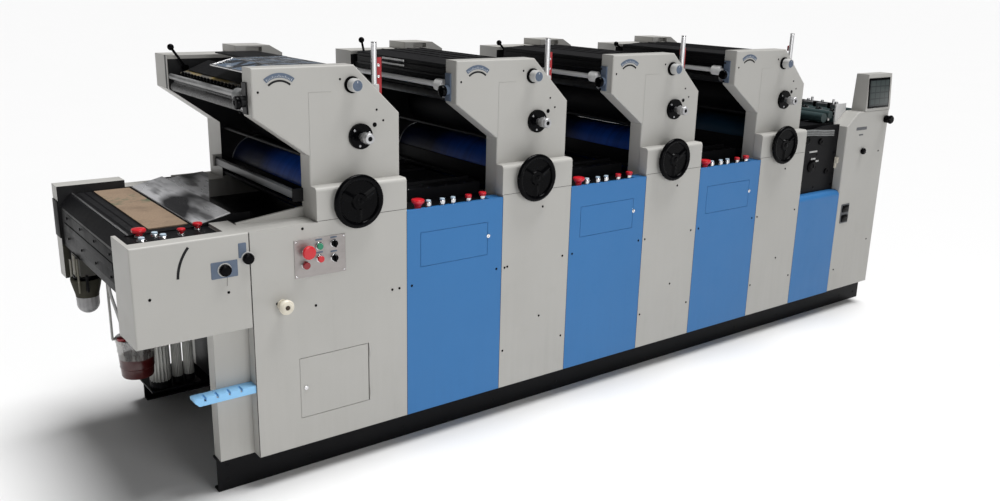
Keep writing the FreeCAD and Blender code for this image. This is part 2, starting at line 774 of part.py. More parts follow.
def make_delivery():
    x0, x1 = delivery_left, first_cover_left
    face = -cover_depth
    inner_near, inner_far = delivery_inner_near, delivery_inner_far
    near = box(x0, x1, face, inner_near, delivery_bottom, delivery_top)
    # shallow recess for the console's buttons
    console = box(x0 + console_margin, console_right, console_front, inner_near + 1,
                  delivery_top - console_depth, delivery_top + 1)
    add("delivery_near_cover", round_face(near, face, edge_round).cut(console))
    far = box(x0, far_first_left, inner_far, delivery_outer_far, delivery_bottom, delivery_top)
    cap = box(x0, far_cap_right, inner_far, delivery_outer_far, delivery_top, delivery_top + far_cap_height)
    add("delivery_far_cover", far.fuse(cap).removeSplitter())
    nose = x0 + table_inset
    table = plate_xz([(nose + table_nose_run, table_top), (nose, table_top - table_nose + table_drop),
                      (nose, table_low), (far_first_left, table_low), (far_first_left, table_top)],
                     inner_near, inner_far)
    side = box(first_cover_left, far_first_left, near_wall, inner_near, table_low, table_top)
    guards, ends = make_guards()
    table = table.fuse([side] + [end.cut(guards) for end in ends]).removeSplitter()
    add("delivery_table", table)
    add("sheet_guards", *guards)
    add("paper_board", box(board_left, board_right, inner_near + 40, inner_far - 10, table_top,
                           table_top + board_thick))
    make_corner_post()
    add("air_ducts", *[rod_z(x, duct_y, rail_height, table_low, r) for x, r in zip(duct_places, duct_radius)])
    # pair of delivery rods on small plates that stand out of the first unit's walls
    for dx, z in rod_places:
        add("cross_bars", rod_y(neck_left + dx, z, near_wall, body_inner_far, rod_radius))
    for y in (near_wall - rod_plate_thick, body_inner_far):
        add("head_brackets", box(neck_left - rod_plate_reach, neck_left, y, y + rod_plate_thick,
                                 rod_plate_low, rod_plate_high))


def make_guards():
    # two polished sheet guards that rise from the table to the first unit, and the dark end plates
    # that carry them
    inner_near, inner_far = delivery_inner_near, delivery_inner_far
    top, t = table_top, thin_sheet
    high = top + guard_rise
    first = plate_xz([(guard_left, top), (guard_left + 4, top + t), (guard_right, high),
                      (guard_right + 4, high - t)], inner_near + t, inner_far)
    low = guard_right + guard_gap
    second = plate_xz([(low, high - t - 8), (low, high - 8), (second_guard_right, high + 4),
                       (second_guard_right, high + 4 - t)], inner_near + t, inner_far)
    # the second one tapers to a point at its near end
    start = inner_near + second_guard_start
    past = second_guard_right + 1
    taper = plate_xy([(low + 4, start), (past, inner_far - 60), (past, inner_near), (low - 1, inner_near),
                      (low - 1, start)], top - 1, high + 20)
    second = second.cut(taper)
    profile = [(guard_left + 20, top), (guard_right, high - t), (second_guard_right, high - t)]
    far_end = plate_xz(profile + [(second_guard_right, delivery_top), (far_first_left, delivery_top),
                                  (far_first_left, top)], inner_far - 12, inner_far)
    near_end = plate_xz(profile[:2] + [(far_first_left, high - t), (far_first_left, top)], inner_near,
                        inner_near + t)
    return [first, second], [far_end, near_end]


def make_corner_post():
    # corner post that carries the delivery, with its slotted step
    add("corner_post", box(corner_post_left, first_cover_left, 0, corner_post_depth, rail_height,
                           delivery_bottom))
    x0, x1 = step_left, first_cover_left
    low = step_top - step_thick
    step = box(x0, x1, -step_depth, 0, low, step_top)
    lip = plate_xz([(x0, low), (x0 + step_slope, low - step_lip), (x1, low - step_lip), (x1, low)],
                   -step_depth, -step_depth + 4)
    first = x0 + 33
    slots = [box(first + step_slot_pitch * k, first + step_slot_pitch * k + step_slot, -step_depth - 1,
                 -step_depth / 3, low - 1, step_top + 1) for k in range(step_slot_count)]
    add("step_plate", step.fuse(lip).cut(slots).removeSplitter())


# ---- filter bowl and waste bottle under the delivery ----

def make_fittings():
    x, y = bowl_x, bowl_y
    low, high = bowl_collar
    block = box(x - bowl_block / 2, x + bowl_block / 2, y - bowl_block, y + bowl_block, high, table_low)
    add("hanging_brackets", block.fuse(rod_z(x, y, low, high, bowl_collar_radius)).removeSplitter())
    bowl = rod_z(x, y, bowl_low, low, bowl_radius).fuse(Part.makeSphere(bowl_radius, V(x, y, bowl_low)))
    add("filter_bowl", bowl.removeSplitter())
    x, y = bottle_x, bottle_y
    rim = bottle_low + bottle_height
    top = rim + bottle_rim
    bottle = Part.makeCone(*bottle_radius, bottle_height, V(x, y, bottle_low))
    add("waste_bottle", bottle.fuse(rod_z(x, y, rim, top, bottle_radius[1] + 2)).removeSplitter())
    # flat bar bent into a hanger over the bottle
    near, far = y - hanger_half, y + hanger_half
    legs = [box(x - hanger_reach, x - hanger_reach + hanger_thick, near, far, top, table_low),
            box(x + hanger_reach - hanger_thick, x + hanger_reach, near, far, top, table_low)]
    bar = box(x - hanger_reach, x + hanger_reach, near, far, top, top + hanger_thick)
    add("hanging_brackets", bar.fuse(legs).removeSplitter())


# ---- feeder ----

def cabinet(y0, y1, round_y):
    c0, c1, top = cabinet_left, cabinet_right, cabinet_top
    corner = c0 + cabinet_shoulder_run
    outline = [(c0, rail_height), (c0, top - cabinet_shoulder), (corner, top - cabinet_bevel_drop),
               (corner + cabinet_bevel, top), (c1, top), (c1, rail_height)]
    return round_face(plate_xz(outline, y0, y1), round_y, edge_round)


def make_feeder():
    c0, c1 = cabinet_left, cabinet_right
    face = -cover_depth
    y1 = face + cabinet_depth
    far0 = far_outer - cabinet_depth
    hole = rod_y(feeder_knob_x, feeder_knob_z, face - 1, face + knob_seat, feeder_knob_stem + running_gap)
    add("feeder_cabinets", cabinet(face, y1, face).cut(hole), cabinet(far0, far_outer, far_outer))
    add("feeder_knob", turning_knob(feeder_knob_x, feeder_knob_z, face, feeder_knob_radius,
                                    feeder_knob_reach, feeder_knob_stem, feeder_knob_radius - 3))
    pod_left, pod_top = c0 + pod_left_in, cabinet_top + pod_height
    pod = plate_xz([(pod_left, cabinet_top), (pod_left + pod_lean, pod_top), (c1, pod_top), (c1, cabinet_top)],
                   face, y1)
    tilt = bar_yz([(face - 1, cabinet_top + 14), (face - 1, pod_top + 1), (face + pod_tilt, pod_top + 1)],
                  pod_left - 10, c1 + 10)
    add("screen_pod", pod.cut(tilt))

    # black feeder between the last unit and the cabinets, with cheeks that carry its rollers
    x0 = last_x + body_right
    body = box(x0, c0, 0, body_width, body_bottom, feeder_deck)
    outline = [(x0, feeder_deck), (x0, cheek_low), (x0 + cheek_run, cheek_high), (c0, cheek_high),
               (c0, feeder_deck)]
    cheeks = [plate_xz(outline, 0, cheek_thick), plate_xz(outline, body_width - cheek_thick, body_width)]
    # pile table between the cabinets on its end beam
    table_bottom = feeder_deck - table_drop_end
    table = [box(c0, c1, y1, far0, table_bottom, feeder_deck),
             box(c1 - table_beam, c1, y1, far0, feeder_deck - table_beam_drop, table_bottom)]
    add("feeder_body", body.fuse(cheeks + table).removeSplitter())
    ends = cheek_thick, body_width - cheek_thick
    add("feed_rollers", *[rod_y(x0 + dx, z, *ends, r) for dx, z, r in feed_rollers])
    make_feed_head(y1, far0)


def make_feed_head(y0, y1):
    # two bright rails with upright suction pegs, on plates inside the cabinets
    c0 = cabinet_left
    low, high = feed_rail_height, feed_rail_height + feed_rail_thick
    start, end, bottom, top = feed_plate
    inside = y0 + feed_plate_thick, y1 - feed_plate_thick
    for y in (y0, inside[1]):
        add("feed_plates", box(c0 + start, c0 + end, y, y + feed_plate_thick, bottom, top))
    rails = [box(c0 + dx, c0 + dx + feed_rail_width, *inside, low, high) for dx in feed_rail_places]
    middle = c0 + feed_rail_places[0] + feed_rail_width / 2
    pegs = [rod_z(middle, y0 + dy, high - 1, high + peg_height, peg_radius) for dy in peg_places]
    add("feed_rails", rails[0].fuse(pegs).removeSplitter(), rails[1])


make_base()
make_side_walls()
make_cylinders()
make_near_covers()
make_buttons()
make_body()
make_heads()
make_drive_tops()
make_posts()
make_levers()
make_delivery()
make_fittings()
make_feeder()

# ---- move to the origin and write ----
whole = FreeCAD.BoundBox()
for solids in nodes.values():
    for solid in solids:
        whole.add(solid.BoundBox)
to_origin = V(-(whole.XMin + whole.XMax) / 2, -(whole.YMin + whole.YMax) / 2, -whole.ZMin)
os.makedirs("parts", exist_ok=True)
for name, solids in nodes.items():
    for solid in solids:
        solid.translate(to_origin)
    shape = solids[0] if len(solids) == 1 else Part.makeCompound(solids)
    shape.exportStep(f"parts/{name}.step")
print("nodes", len(nodes), "shift", tuple(round(v, 3) for v in to_origin))
print("size", tuple(round(v, 1) for v in (whole.XLength, whole.YLength, whole.ZLength)))
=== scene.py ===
import bpy
import bmesh
import json
import math
import numpy as np
from mathutils import Matrix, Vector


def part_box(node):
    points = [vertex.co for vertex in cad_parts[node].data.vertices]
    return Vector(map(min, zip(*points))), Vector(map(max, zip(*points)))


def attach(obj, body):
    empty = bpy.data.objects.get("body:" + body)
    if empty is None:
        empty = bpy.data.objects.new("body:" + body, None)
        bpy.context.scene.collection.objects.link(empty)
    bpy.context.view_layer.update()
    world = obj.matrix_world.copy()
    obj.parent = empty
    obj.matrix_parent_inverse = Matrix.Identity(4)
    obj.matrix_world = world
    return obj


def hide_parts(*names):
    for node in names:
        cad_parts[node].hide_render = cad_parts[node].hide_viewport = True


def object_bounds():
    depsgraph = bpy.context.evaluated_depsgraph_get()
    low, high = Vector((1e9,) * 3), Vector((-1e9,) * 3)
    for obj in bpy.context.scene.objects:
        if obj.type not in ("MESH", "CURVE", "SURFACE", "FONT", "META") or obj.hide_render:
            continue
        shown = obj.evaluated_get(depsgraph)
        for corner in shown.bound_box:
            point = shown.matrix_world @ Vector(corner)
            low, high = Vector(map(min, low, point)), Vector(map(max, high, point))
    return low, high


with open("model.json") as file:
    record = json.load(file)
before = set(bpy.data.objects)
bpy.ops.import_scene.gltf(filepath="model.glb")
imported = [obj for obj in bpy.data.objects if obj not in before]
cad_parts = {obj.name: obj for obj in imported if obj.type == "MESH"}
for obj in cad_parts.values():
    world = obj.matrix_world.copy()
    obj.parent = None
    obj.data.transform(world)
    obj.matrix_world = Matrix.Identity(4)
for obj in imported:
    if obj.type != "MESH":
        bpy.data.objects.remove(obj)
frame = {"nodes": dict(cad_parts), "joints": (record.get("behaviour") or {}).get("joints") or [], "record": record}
cadBox = [list(map(float, corner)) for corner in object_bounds()]
print("frame loaded:", len(frame["nodes"]), "nodes")

# places are in millimetres: x from a unit's handwheel, y in from the side wall's face, z from the floor

joints = {j["name"]: j for j in frame["joints"]}
wheelX = [joints[f"handwheel_{k}_turn"]["pos_m"][0] for k in range(1, 5)]
wheelZ = joints["handwheel_1_turn"]["pos_m"][2] * 1000
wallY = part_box("near_side_walls")[0][1]
units = range(4)
cover = (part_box("side_covers")[0][1] - wallY) * 1000  # face of the lower covers
depth = (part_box("gear_cases")[1][1] - wallY) * 1000  # drive side's face
inside = (73.0, 839.0)  # between the two walls
span = (76.0, 836.0)  # what crosses a unit ends here


def at(x, y, z, unit=0):
    return np.array([wheelX[unit] + x / 1000, wallY + y / 1000, z / 1000])


def weave(rows):
    # rings of points, each point joined to the next in its ring and in the next ring, with one face over
    # the first ring and one over the last
    m, n = rows.shape[:2]
    spot = np.arange(m * n).reshape(m, n)
    right = np.roll(spot, -1, axis=1)
    quads = np.stack([spot[:-1], right[:-1], right[1:], spot[1:]], axis=-1).reshape(-1, 4)
    return rows.reshape(-1, 3), quads.tolist() + [spot[0].tolist()[::-1], spot[-1].tolist()]


def across(axis):
    # two directions square to an axis, and the axis itself
    a = np.asarray(axis, float) / np.linalg.norm(axis)
    side = np.cross(a, (0, 0, 1) if abs(a[2]) < 0.9 else (1, 0, 0))
    side = side / np.linalg.norm(side)
    return side, np.cross(a, side), a


def lathe(centre, axis, profile, count=32, flutes=0, bite=0.0):
    # point = centre + axis * height + radius * (cos t * side + sin t * up), profile rows are radius, height
    # and how much of the flutes they take; flutes make radius (1 + bite * cos(flutes * t))
    side, up, a = across(axis)
    rows = np.array([tuple(p) + (0,) * (3 - len(p)) for p in profile], float)
    t = np.linspace(0, 2 * math.pi, count, endpoint=False)
    r = rows[:, :1] * (1 + bite * rows[:, 2:3] * np.cos(flutes * t)) / 1000
    p = centre + rows[:, 1, None, None] / 1000 * a
    p = p + r[..., None] * (np.cos(t)[:, None] * side + np.sin(t)[:, None] * up)
    return weave(p)


def rounded(width, height, corner, steps=4):
    # outline of a rounded rectangle: each corner's middle plus corner * (cos t, sin t)
    t = np.concatenate([np.linspace(q, q + 1, steps) for q in range(4)]) * math.pi / 2
    sx = np.repeat([1, -1, -1, 1], steps) * (width / 2 - corner)
    sy = np.repeat([1, 1, -1, -1], steps) * (height / 2 - corner)
    return np.stack([sx + corner * np.cos(t), sy + corner * np.sin(t)], axis=1)


def pad(centre, right, up, width, height, thick, corner=2.0, bevel=0.6):
    # rounded rectangle plate that rises from centre along right x up; its last rows draw in by the bevel
    out = np.cross(right, up)
    levels = ((0, 0), (thick - bevel, 0), (thick - bevel * 0.3, bevel * 0.3), (thick, bevel))
    rows = [rounded(width - 2 * b, height - 2 * b, max(corner - b, 0.05)) for _, b in levels]
    p = np.array(rows) / 1000
    p = centre + p[..., :1] * np.asarray(right) + p[..., 1:] * np.asarray(up)
    return weave(p + np.array([[[z / 1000]] for z, _ in levels]) * out)


def wallPlate(place, *sizes):
    # rounded plate on an upright face that looks at the operator
    return pad(at(*place), (1, 0, 0), top, *sizes)


def slab(outline, out, thick):
    # flat outline carried along a direction
    outline = np.asarray(outline)
    return weave(np.stack([outline, outline + np.asarray(out) * thick / 1000]))


def arcBand(middle, inner, outer, start, end, out, thick, unit=0, steps=24):
    # band between two arcs in the plane of x and z, as middle + radius * (cos t, sin t)
    t = np.radians(np.linspace(start, end, steps))
    ring = np.concatenate([np.stack([np.cos(t), np.sin(t)], 1) * outer,
                           np.stack([np.cos(t), np.sin(t)], 1)[::-1] * inner])
    x, y, z = middle
    return slab([at(x + a, y, z + b, unit) for a, b in ring], out, thick)


def block(x0, x1, y0, y1, z0, z1, unit=0, bevel=1.0):
    # box between two corners, with its four long edges bevelled
    return pad(at((x0 + x1) / 2, (y0 + y1) / 2, z0, unit), (1, 0, 0), (0, 1, 0), x1 - x0, y1 - y0, z1 - z0,
               corner=bevel, bevel=bevel)


def tube(path, radius, sides):
    # circle carried along a path: point + radius * (cos t * n + sin t * b), where n and b are square to it
    path = np.asarray(path)
    run = np.gradient(path, axis=0)
    run /= np.linalg.norm(run, axis=1)[:, None]
    lead = np.array([0.31, 0.17, 0.93]) if abs(run[:, 2]).max() < 0.9 else np.array([0.9, 0.4, 0.1])
    n = np.cross(run, lead)
    n /= np.linalg.norm(n, axis=1)[:, None]
    b = np.cross(run, n)
    t = np.linspace(0, 2 * math.pi, sides, endpoint=False)
    ring = np.cos(t)[None, :, None] * n[:, None] + np.sin(t)[None, :, None] * b[:, None]
    return weave(path[:, None] + ring * radius / 1000)


def rod(x, z, y0, y1, radius, sides, unit=0):
    # straight rod across the machine, from y0 to y1
    return tube(np.linspace(at(x, y0, z, unit), at(x, y1, z, unit), 3), radius, sides)


def curve(points, count=24):
    # smooth path through points: each stretch is a Catmull-Rom cubic of its four nearest points
    p = np.asarray(points, float)
    p = np.concatenate([2 * p[:1] - p[1:2], p, 2 * p[-1:] - p[-2:-1]])
    t = np.linspace(0, 1, count, endpoint=False)[:, None]
    parts = []
    for a, b, c, d in zip(p, p[1:], p[2:], p[3:]):
        square, cube = 2 * a - 5 * b + 4 * c - d, 3 * b - a - 3 * c + d
        parts.append(0.5 * (2 * b + (c - a) * t + square * t ** 2 + cube * t ** 3))
    return np.concatenate(parts + [p[-2:-1]])


def screw(centre, out, radius=5.0):
    # round head with a socket, as a turned profile
    r = radius
    return lathe(centre, out, [(r, -0.5), (r, 0.7), (r * 0.86, 1.4), (r * 0.5, 1.6), (r * 0.46, 0.6),
                               (0.1, 0.4)], 14)


near = (0, -1, 0)
far = (0, 1, 0)
top = (0, 0, 1)
ahead = (-1, 0, 0)


class Wire:
    # one socket; an expression on it adds the Math nodes that work it out

    def __init__(self, paint, socket):
        self.paint, self.socket = paint, socket

    def maths(self, operation, *values):
        return self.paint.node("ShaderNodeMath", {"operation": operation}, dict(enumerate(values)))

    def __add__(self, other):
        return self.maths("ADD", self, other)

    __radd__ = __add__

    def __sub__(self, other):
        return self.maths("SUBTRACT", self, other)

    def __rsub__(self, other):
        return self.maths("SUBTRACT", other, self)

    def __mul__(self, other):
        return self.maths("MULTIPLY", self, other)

    __rmul__ = __mul__

    def __gt__(self, other):
        return self.maths("GREATER_THAN", self, other)

    def __lt__(self, other):
        return self.maths("LESS_THAN", self, other)

    def size(self):
        return self.maths("ABSOLUTE", self)

    def sin(self):
        return self.maths("SINE", self)

    def mod(self, other):
        return self.maths("FLOORED_MODULO", self, other)

    def between(self, low, high):
        # 0 at low and 1 at high, held to that range
        return self.paint.node("ShaderNodeMapRange", {"clamp": True},
                               {"Value": self, "From Min": low, "From Max": high})


class Paint:
    # a material with its shader, and one way of adding any node

    def __init__(self, name, colour, rough=0.5, metal=0.0, **fixed):
        self.material = bpy.data.materials.new(name)
        self.material.use_nodes = True
        self.tree = self.material.node_tree
        self.shader = self.tree.nodes["Principled BSDF"]
        self.put("Base Color", tuple(colour) + (1,))
        self.put("Roughness", rough)
        self.put("Metallic", metal)
        for socket, value in fixed.items():
            self.put(socket.replace("_", " "), value)
        self.place = self.node("ShaderNodeTexCoord", output="Object")

    def node(self, kind, settings=None, inputs=None, output=0):
        n = self.tree.nodes.new(kind)
        for name, value in (settings or {}).items():
            setattr(n, name, value)
        for key, value in (inputs or {}).items():
            self.link(n.inputs[key], value)
        return Wire(self, n.outputs[output])

    def link(self, socket, value):
        if isinstance(value, Wire):
            self.tree.links.new(value.socket, socket)
        else:
            socket.default_value = value

    def put(self, name, value):
        self.link(self.shader.inputs[name], value)

    def noise(self, scale, detail=3.0, rough=0.5, stretch=(1, 1, 1), seed=0.0):
        where = self.node("ShaderNodeMapping", {}, {"Vector": self.place, "Scale": stretch,
                                                    "Location": (seed, seed, 0)})
        return self.node("ShaderNodeTexNoise", {}, {"Vector": where, "Scale": scale, "Detail": detail,
                                                    "Roughness": rough})

    def axis(self, letter):
        return self.node("ShaderNodeSeparateXYZ", {}, {0: self.place}, letter)

    def blend(self, factor, first, second):
        n = self.tree.nodes.new("ShaderNodeMix")
        n.data_type = "RGBA"
        for socket, value in ((n.inputs[0], factor), (n.inputs[6], first), (n.inputs[7], second)):
            self.link(socket, value if isinstance(value,
                                                  Wire) or socket == n.inputs[0] else tuple(value) + (1,))
        return Wire(self, n.outputs[2])

    def finish(self, height=None, strength=0.2, distance=0.001, edge=0.0):
        # bump from a height, over edges softened to a radius
        soft = self.node("ShaderNodeBevel", {"samples": 4}, {"Radius": edge}) if edge else None
        if height is not None:
            inputs = {"Strength": strength, "Distance": distance, "Height": height}
            if soft:
                inputs["Normal"] = soft
            soft = self.node("ShaderNodeBump", {}, inputs)
        if soft:
            self.put("Normal", soft)
        return self.material


# finishes
sheetPaint = {"light": (0.472, 0.464, 0.440), "shade": (0.410, 0.402, 0.378), "grime": (0.25, 0.235, 0.21)}


def makeSheetPaint(name, light, shade, grime, rough=0.42, dirt=0.5, shadeInside=False):
    # sprayed paint: fine orange peel, faint clouds, hand grime in patches and dust near the floor
    p = Paint(name, light, rough, Coat_Weight=0.06, Coat_Roughness=0.25, Specular_IOR_Level=0.3)
    clouds = p.noise(1.6, 4, 0.6)
    peel = p.noise(900, 2, 0.5)
    patches = p.noise(7.0, 6, 0.7, seed=3.1)
    streaks = p.noise(9.0, 4, 0.6, stretch=(4, 4, 0.35), seed=1.7)
    low = 1 - p.axis("Z").between(0.12, 0.75)
    marks = patches.between(0.58, 0.80) * 0.35 + streaks.between(0.60, 0.85) * 0.25
    stain = (marks + low * streaks.between(0.35, 0.8) * 0.5) * dirt
    colour = p.blend(clouds.between(0.3, 0.7) * 0.5, light, shade)
    colour = p.blend(stain * 0.45, colour, grime)
    if shadeInside:
        # painted shade: the walls' inner sides above the shoulders are painted black, for the dark parts that line
        # them and the deep shade inside the heads
        y, z = p.axis("Y"), p.axis("Z")
        x = p.axis("X")
        innerWallShade = (y > at(0, inside[0] - 0.6, 0)[1]) * (y < at(0, inside[1] + 0.6,
                                                             0)[1]) * (z > 0.985) * (z < 1.4775)
        colour = p.blend(innerWallShade * (x > at(-349, 0, 0)[0]), colour, (0.006, 0.006, 0.007))
        # painted shade: the far cover's inner side is painted dull olive low down and black above, standing in for
        # its shaded hollow
        farCoverShade = (y > at(0, 850, 0)[1]) * (y < at(0, 869.6, 0)[1]) * (x < at(-320, 0, 0)[0])
        shade = p.blend(z.between(0.76, 0.78), (0.055, 0.052, 0.038), (0.006, 0.006, 0.007))
        colour = p.blend(farCoverShade, colour, shade)
    p.put("Base Color", colour)
    p.put("Roughness", rough + patches.between(0.4, 0.8) * 0.14 + stain * 0.2)
    return p.finish(peel * 0.6 + patches * 0.4, 0.10, 0.0006, edge=0.0022)


def makeBlack(name, base=(0.007, 0.007, 0.008), dust=(0.022, 0.021, 0.020), rough=0.38, amount=0.35,
              edge=0.002):
    # black paint with dull dust in the noise's high patches and small scuffs
    p = Paint(name, base, rough, Specular_IOR_Level=0.08)
    patches = p.noise(5.0, 6, 0.7)
    scuffs = p.noise(60.0, 4, 0.7, stretch=(1, 1, 3), seed=5.2)
    dull = patches.between(0.48, 0.78) * amount
    p.put("Base Color", p.blend(dull * 0.5 + scuffs.between(0.62, 0.80) * 0.25 * amount, base, dust))
    p.put("Roughness", rough + dull * 0.4 + scuffs.between(0.5, 0.8) * 0.1)
    return p.finish(scuffs * 0.5 + p.noise(500, 2) * 0.5, 0.12, 0.0005, edge=edge)


def makeSteel(name, base, rough, stretch, lines=0.25, metal=1.0, edge=0.0012):
    # drawn or turned steel: fine lines along one way, from noise stretched across it
    p = Paint(name, base, rough, metal)
    grain = p.noise(220.0, 3, 0.6, stretch=stretch)
    cloud = p.noise(11.0, 5, 0.65, seed=2.0)
    p.put("Base Color", p.blend(cloud.between(0.35, 0.75) * 0.5, base, tuple(c * 0.72 for c in base)))
    p.put("Roughness", rough + grain * lines * 0.6 + cloud.between(0.45, 0.8) * 0.18)
    return p.finish(grain, lines, 0.0003, edge=edge)


def makePlastic(name, base, rough=0.3, coat=0.0, speck=0.08, edge=0.0008, gloss=0.4):
    # moulded plastic: slight colour clouds and a very fine moulded grain
    p = Paint(name, base, rough, Coat_Weight=coat, Coat_Roughness=0.06, Specular_IOR_Level=gloss)
    cloud = p.noise(38.0, 4, 0.6)
    p.put("Base Color", p.blend(cloud.between(0.35, 0.75) * speck * 4, base, tuple(c * 0.72 for c in base)))
    p.put("Roughness", rough + cloud.between(0.4, 0.8) * 0.1)
    return p.finish(p.noise(1400, 2), 0.06, 0.0003, edge=edge)


def makeClear(name, base, alpha, rough):
    # thin clear sheet or bowl: mostly see-through, with cloudy smears that show more
    p = Paint(name, base, rough, Coat_Weight=0.6, Coat_Roughness=0.04)
    smear = p.noise(9.0, 5, 0.7, stretch=(1, 0.4, 1))
    p.put("Alpha", alpha + smear.between(0.45, 0.8) * 0.28)
    p.put("Roughness", rough + smear.between(0.4, 0.7) * 0.25)
    return p.finish(smear, 0.15, 0.002)


def makeSplashGuard():
    # clear guard sheet: a painted reflection of a shed roof's dark and blue-grey panes, with pale streaks of
    # painted highlight
    p = Paint("splashGuard", (0.1, 0.13, 0.18), 0.16, Coat_Weight=0.4, Coat_Roughness=0.04)
    x, y = p.axis("X"), p.axis("Y")
    bend = p.noise(7.0, 3, 0.6)
    # painted reflection: the roof's panes, which also change how clear the sheet is
    bars = ((x * 3 + y * 2 + bend * 0.25).mod(0.30) > 0.12) * ((y * 3 - x + bend * 0.2).mod(0.42) > 0.10)
    streak = p.noise(20.0, 4, 0.7, stretch=(1, 0.2, 1), seed=6.0)
    colour = p.blend(bars, (0.020, 0.026, 0.036), (0.15, 0.21, 0.30))
    p.put("Base Color", p.blend(streak.between(0.60, 0.68), colour, (0.66, 0.70, 0.74)))
    p.put("Alpha", 0.72 + bars * 0.16)
    return p.finish(bend, 0.2, 0.002)


def makeBlanket():
    # rubber blanket: navy, finely woven, with dull bands of ink round it; painted shade blacks out each blanket
    # towards the far wall and dims the fourth unit's blanket to dark teal
    p = Paint("navyBlanket", (0.003, 0.010, 0.09), 0.34, Coat_Weight=0.1, Coat_Roughness=0.3,
              Specular_IOR_Level=0.2)
    band = p.noise(26.0, 4, 0.6, stretch=(0.05, 1, 0.05))
    cloth = (p.axis("Y") * 5200).sin() * 0.5 + p.noise(700, 2)
    # painted shade: black from the middle of the width towards the far wall, where the blanket lies in shade
    blanketFarShade = p.axis("Y").between(at(0, 380, 0)[1], at(0, 560, 0)[1])
    colour = p.blend(band.between(0.45, 0.75), (0.004, 0.060, 0.36), (0.003, 0.034, 0.20))
    # painted shade: the fourth unit's blanket is dark teal, as it lies dim in its closed head
    colour = p.blend(p.axis("X") > at(-300, 0, 0, 3)[0], colour, (0.004, 0.022, 0.045))
    p.put("Base Color", p.blend(blanketFarShade * 0.92, colour, (0.002, 0.002, 0.004)))
    p.put("Roughness", 0.3 + band * 0.25)
    return p.finish(cloth, 0.08, 0.0003)


def makeRubber():
    # ink roller rubber: dark grey, bands of dried ink round it and a soft sheen; painted shade keeps the rollers
    # near black, all but the open unit's upper ones, which stay grey and flecked
    p = Paint("rollerRubber", (0.02, 0.02, 0.022), 0.32, Coat_Weight=0.05, Coat_Roughness=0.25,
              Specular_IOR_Level=0.2)
    band = p.noise(34.0, 5, 0.65, stretch=(0.1, 1, 0.1))
    fleck = p.noise(160.0, 3, 0.6)
    # painted shade: near-black ink colour for every roller outside the open unit's upper part
    ink = p.blend(band.between(0.4, 0.75), (0.010, 0.010, 0.011), (0.004, 0.004, 0.005))
    first = (p.axis("X") < at(-306, 0, 0)[0]) * (p.axis("Z") > 1.3)
    grey = p.blend(fleck.between(0.45, 0.65), (0.16, 0.16, 0.16), (0.045, 0.045, 0.046))
    p.put("Base Color", p.blend(first, ink, grey))
    p.put("Roughness", 0.36 + band * 0.3 + fleck.between(0.5, 0.8) * 0.2)
    return p.finish(fleck, 0.1, 0.0004)


def makeBoard():
    # brown board: fibres, darker handled patches and an old green ink smear
    p = Paint("brownBoard", (0.34, 0.235, 0.145), 0.85)
    fibre = p.noise(260.0, 4, 0.7, stretch=(1, 0.25, 1))
    patch = p.noise(9.0, 5, 0.7)
    smear = p.noise(16.0, 5, 0.7, seed=7.3)
    place = 1 - ((p.axis("Y") - at(0, 655, 0)[1]) * 10).size()
    colour = p.blend(fibre.between(0.3, 0.75), (0.30, 0.215, 0.145), (0.20, 0.14, 0.095))
    colour = p.blend(patch.between(0.48, 0.72) * 0.7, colour, (0.15, 0.105, 0.07))
    p.put("Base Color", p.blend(smear.between(0.44, 0.56) * place.between(0.0, 0.5) * 0.8, colour,
                                (0.05, 0.10, 0.055)))
    return p.finish(fibre, 0.3, 0.0006)


def makeGuardSteel():
    # polished sheet guards: long soft waves of painted reflection, near black to light in the colour, with grease
    # smears and light scratches
    p = Paint("guardSteel", (0.42, 0.42, 0.44), 0.25, 0.45)
    wave = p.noise(4.6, 2, 0.4, stretch=(1.7, 0.5, 1), seed=0.6)
    smear = p.noise(7.0, 3, 0.5, stretch=(2.2, 0.45, 1), seed=4.0)
    scratch = p.noise(300.0, 3, 0.6, stretch=(1, 0.04, 1))
    paintedReflection = wave.between(0.36, 0.50) * (1 - smear.between(0.52, 0.62) * 0.75)
    p.put("Base Color", p.blend(paintedReflection, (0.022, 0.022, 0.025), (0.80, 0.80, 0.82)))
    p.put("Roughness", 0.2 + smear.between(0.4, 0.7) * 0.3 + scratch * 0.1)
    return p.finish(wave * 5 + scratch * 0.06, 0.5, 0.001)


def makeInkTray():
    # steel tray with a worn film of yellow ink
    p = Paint("inkTray", (0.40, 0.36, 0.20), 0.35, 0.7)
    film = p.noise(22.0, 6, 0.7, stretch=(1, 0.4, 1))
    spot = p.noise(90.0, 4, 0.7, seed=2.4)
    p.put("Base Color", p.blend(film.between(0.42, 0.58), (0.32, 0.215, 0.03), (0.30, 0.29, 0.28)))
    p.put("Metallic", film.between(0.42, 0.58))
    p.put("Roughness", 0.25 + spot * 0.4)
    return p.finish(film * 0.7 + spot * 0.3, 0.35, 0.001)


def makeRedJar():
    # cloudy jar, dark red up to the liquid's top and pale above it, with pale streaks painted on the glass as
    # reflections
    p = Paint("redJar", (0.2, 0.02, 0.02), 0.3, Coat_Weight=0.4, Coat_Roughness=0.1)
    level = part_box("waste_bottle")[0][2] + 0.085
    cloud = p.noise(24.0, 5, 0.7)
    full = 1 - (p.axis("Z") + cloud * 0.012).between(level, level + 0.006)
    # painted reflection: vertical pale streaks on the glass above the liquid
    streak = p.noise(30.0, 4, 0.6, stretch=(1, 1, 0.1), seed=2.2)
    glass = p.blend(streak.between(0.45, 0.6), (0.10, 0.097, 0.092), (0.48, 0.47, 0.45))
    colour = p.blend(full, glass, (0.060, 0.004, 0.004))
    p.put("Base Color", p.blend(cloud.between(0.5, 0.75) * 0.4, colour, (0.16, 0.05, 0.04)))
    p.put("Alpha", 0.6 + full * 0.38)
    return p.finish(cloud, 0.15, 0.001)


